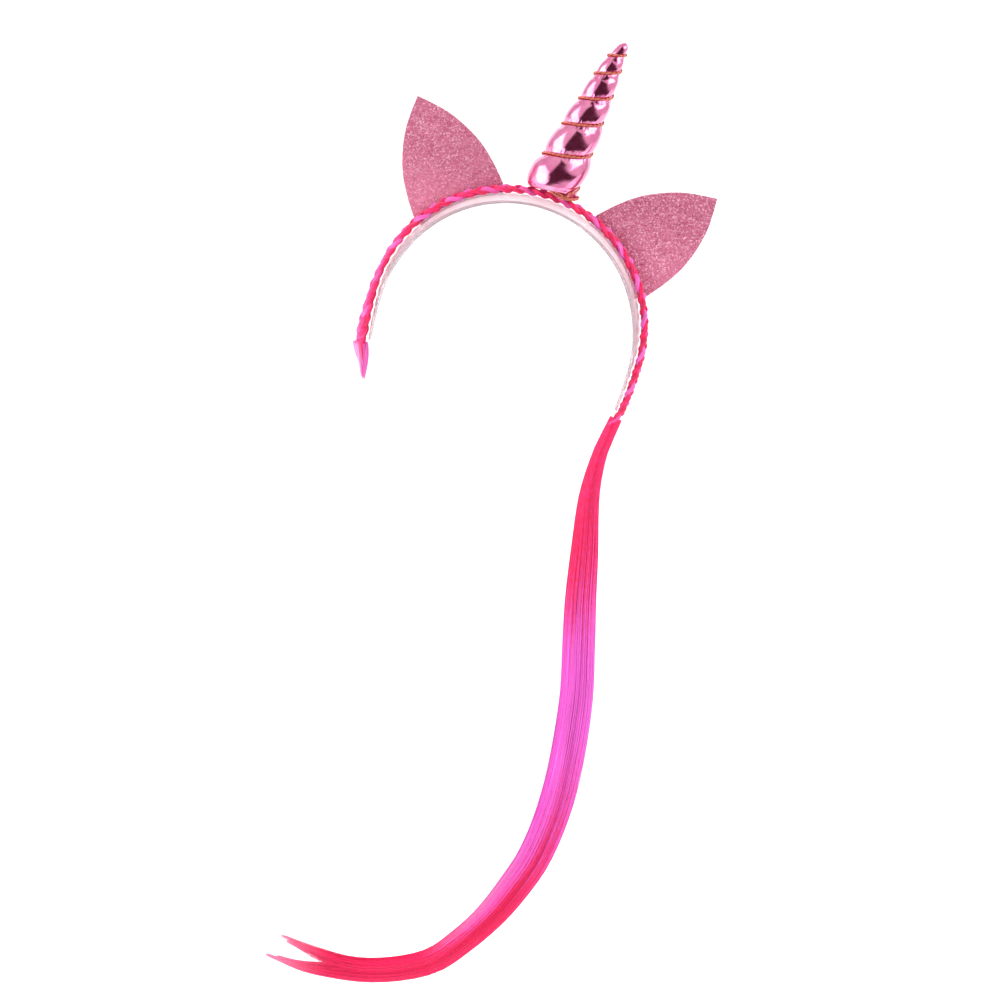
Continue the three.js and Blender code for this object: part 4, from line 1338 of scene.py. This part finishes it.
class HEADBAND_OT_studio(bpy.types.Operator):
    """Sets up the pale floor, the soft lights and the camera"""

    bl_idname = "headband.studio"
    bl_label = "Studio"

    def execute(self, context):
        studio = context.scene.studio_settings
        self.camera(context, studio)
        self.floor(context, studio)
        self.room(context, studio)
        context.scene.view_settings.view_transform = "Standard"
        for box in SOFT_BOXES:
            self.soft_box(context, studio, box)
        return {"FINISHED"}

    @staticmethod
    def camera(context, studio):
        """Camera at the photo's height and roll, turned so that the crown falls on its pixel."""
        lens = bpy.data.cameras.new("photo_camera")
        lens.lens, lens.sensor_width = studio.lens, SENSOR
        lens.clip_end = 50
        cos, sin = math.cos(studio.elevation), math.sin(studio.elevation)
        forward, up, right = Vector((0, cos, -sin)), Vector((0, sin, cos)), Vector((1, 0, 0))
        pixel = studio.distance * SENSOR / studio.lens / PHOTO_PIXELS
        across = (PHOTO_PIXELS / 2 - studio.aim_x) * pixel
        down = (PHOTO_PIXELS / 2 - studio.aim_y) * pixel
        turn_cos, turn_sin = math.cos(studio.roll), math.sin(studio.roll)
        sideways = across * turn_cos + down * turn_sin
        upwards = across * turn_sin - down * turn_cos
        look = (forward * studio.distance + right * sideways + up * upwards).normalized()
        head = up * turn_cos - right * turn_sin
        head = (head - look * head.dot(look)).normalized()
        turn = Matrix((look.cross(head), head, -look)).transposed()
        camera = bpy.data.objects.new("photo_camera", lens)
        camera.matrix_world = Matrix.Translation(-forward * studio.distance) @ turn.to_4x4()
        context.scene.collection.objects.link(camera)
        context.scene.camera = camera

    @staticmethod
    def floor(context, studio):
        """Pale paper that bends up into a wall behind the headband."""
        gap, half, ahead, behind, high, bend = 0.045, 3.0, -0.28, 2.2, 3.2, 0.9
        low = CAD_BOUNDS[0][2] - gap
        curve = np.linspace(0, math.pi / 2, 24)
        profile = [(ahead, low)] + [
            (behind - bend + bend * math.sin(a), low + bend * (1 - math.cos(a))) for a in curve
        ] + [(behind, high)]
        points = [(x, y, z) for x in (-half, half) for y, z in profile]
        count = len(profile)
        faces = [(i, i + count, i + count + 1, i + 1) for i in range(count - 1)]
        mesh = bpy.data.meshes.new("studio_floor")
        mesh.from_pydata(points, [], faces)
        mesh.shade_smooth()

        def varying(graph, place):
            return {"Roughness": graph.between(graph.noise(place, 3, 2), 0.3, 0.7, 0.7, 0.8)}

        tone = (*studio.floor, 1)
        fixed = {"Base Color": tone, "Emission Color": tone, "Emission Strength": 0.3}
        mesh.materials.append(make_material("floor_paper", fixed, varying))
        floor = bpy.data.objects.new("studio_floor", mesh)
        context.scene.collection.objects.link(floor)

    @staticmethod
    def picture_axes(studio):
        """Directions across and up in the picture, which is rolled against the upright headband."""
        cos, sin = math.cos(studio.roll), math.sin(studio.roll)
        return Vector((cos, 0, sin)), Vector((-sin, 0, cos))

    def room(self, context, studio):
        """White room with a dim doorway in front, which the foil mirrors; the camera sees plain white."""
        world = bpy.data.worlds.new("white_room")
        world.use_nodes = True
        context.scene.world = world
        graph = Graph(world.node_tree)
        background = world.node_tree.nodes["Background"]
        direction = graph.read("ShaderNodeTexCoord", "Generated")

        def along(axis):
            settings = {"operation": "DOT_PRODUCT"}
            return graph.read("ShaderNodeVectorMath", "Value", settings, {0: direction, 1: axis})

        narrowing, half_width, soft, sill_low, sill_high, sill_bow = 0.62, 0.5, 0.14, -0.58, -0.49, 0.3
        white, dark = (1.0, 1.0, 1.0), (0.09, 0.03, 0.05)
        right, top = self.picture_axes(studio)
        ahead, up, sideways = along((0, -1, 0)), along(top), along(right)
        spread = graph.math("ABSOLUTE", sideways) + up * narrowing
        sill = graph.between(up + sideways * sideways * sill_bow, sill_low, sill_high)
        jambs = 1 - graph.between(spread, half_width, half_width + soft)
        doorway = jambs * graph.between(ahead, 0.0, 0.12) * sill
        tone = graph.blend(doorway, white, dark)
        behind = graph.between(ahead, -1.0, 0.1, 0.6, 1.0)
        path = graph.node("ShaderNodeLightPath")
        mirrored, seen = (Value(graph, path.outputs[name]) for name in ("Is Glossy Ray", "Is Camera Ray"))
        plain = graph.scaled(white, studio.fill)
        lit = graph.blend(mirrored, plain, graph.scaled(tone, behind * studio.room))
        shown = graph.blend(seen, lit, white)
        world.node_tree.links.new(shown.socket, background.inputs["Color"])

    def soft_box(self, context, studio, box):
        """Soft box that faces the crown, placed in the picture's own directions."""
        light = bpy.data.lights.new(box["name"], "AREA")
        light.shape = "RECTANGLE"
        light.size, light.size_y = box["width"], box["height"]
        light.energy = box["watts"]
        right, top = self.picture_axes(studio)
        at = right * box["across"] + top * box["up"] + Vector((0, -box["ahead"], 0))
        look = -at.normalized()
        lean = math.radians(box["lean"])
        head = (top - look * top.dot(look)).normalized()
        head = head * math.cos(lean) + head.cross(look) * math.sin(lean)
        turn = Matrix((look.cross(head), head, -look)).transposed()
        lamp = bpy.data.objects.new(box["name"], light)
        lamp.matrix_world = Matrix.Translation(at) @ turn.to_4x4()
        context.scene.collection.objects.link(lamp)


OPERATORS = (
    HEADBAND_OT_hoop, HEADBAND_OT_braid, HEADBAND_OT_tail, HEADBAND_OT_ears, HEADBAND_OT_horn,
    HEADBAND_OT_cord, HEADBAND_OT_studio,
)
SETTINGS = {
    "hoop_settings": HoopSettings, "braid_settings": BraidSettings, "tail_settings": TailSettings,
    "ear_settings": EarSettings, "horn_settings": HornSettings, "studio_settings": StudioSettings,
}


class HEADBAND_PT_panel(bpy.types.Panel):
    """Sizes and colours of the headband, and what makes its pieces"""

    bl_idname = "HEADBAND_PT_panel"
    bl_label = "Unicorn Horn Headband"
    bl_space_type = "VIEW_3D"
    bl_region_type = "UI"
    bl_category = "Headband"

    def draw(self, context):
        for operator in OPERATORS:
            self.layout.operator(operator.bl_idname)
        for name, group in SETTINGS.items():
            box = self.layout.box()
            box.label(text=name.replace("_", " ").capitalize())
            for setting in group.__annotations__:
                box.prop(getattr(context.scene, name), setting)


def register():
    for kind in (*SETTINGS.values(), *OPERATORS, HEADBAND_PT_panel):
        bpy.utils.register_class(kind)
    for name, group in SETTINGS.items():
        setattr(bpy.types.Scene, name, PointerProperty(type=group))


def unregister():
    for name in SETTINGS:
        delattr(bpy.types.Scene, name)
    for kind in reversed((*SETTINGS.values(), *OPERATORS, HEADBAND_PT_panel)):
        bpy.utils.unregister_class(kind)


def main():
    register()
    bpy.ops.headband.studio()
    bpy.ops.headband.hoop()
    bpy.ops.headband.braid()
    bpy.ops.headband.tail()
    bpy.ops.headband.ears()
    bpy.ops.headband.horn()
    bpy.ops.headband.cord()


if __name__ == "__main__":
    main()
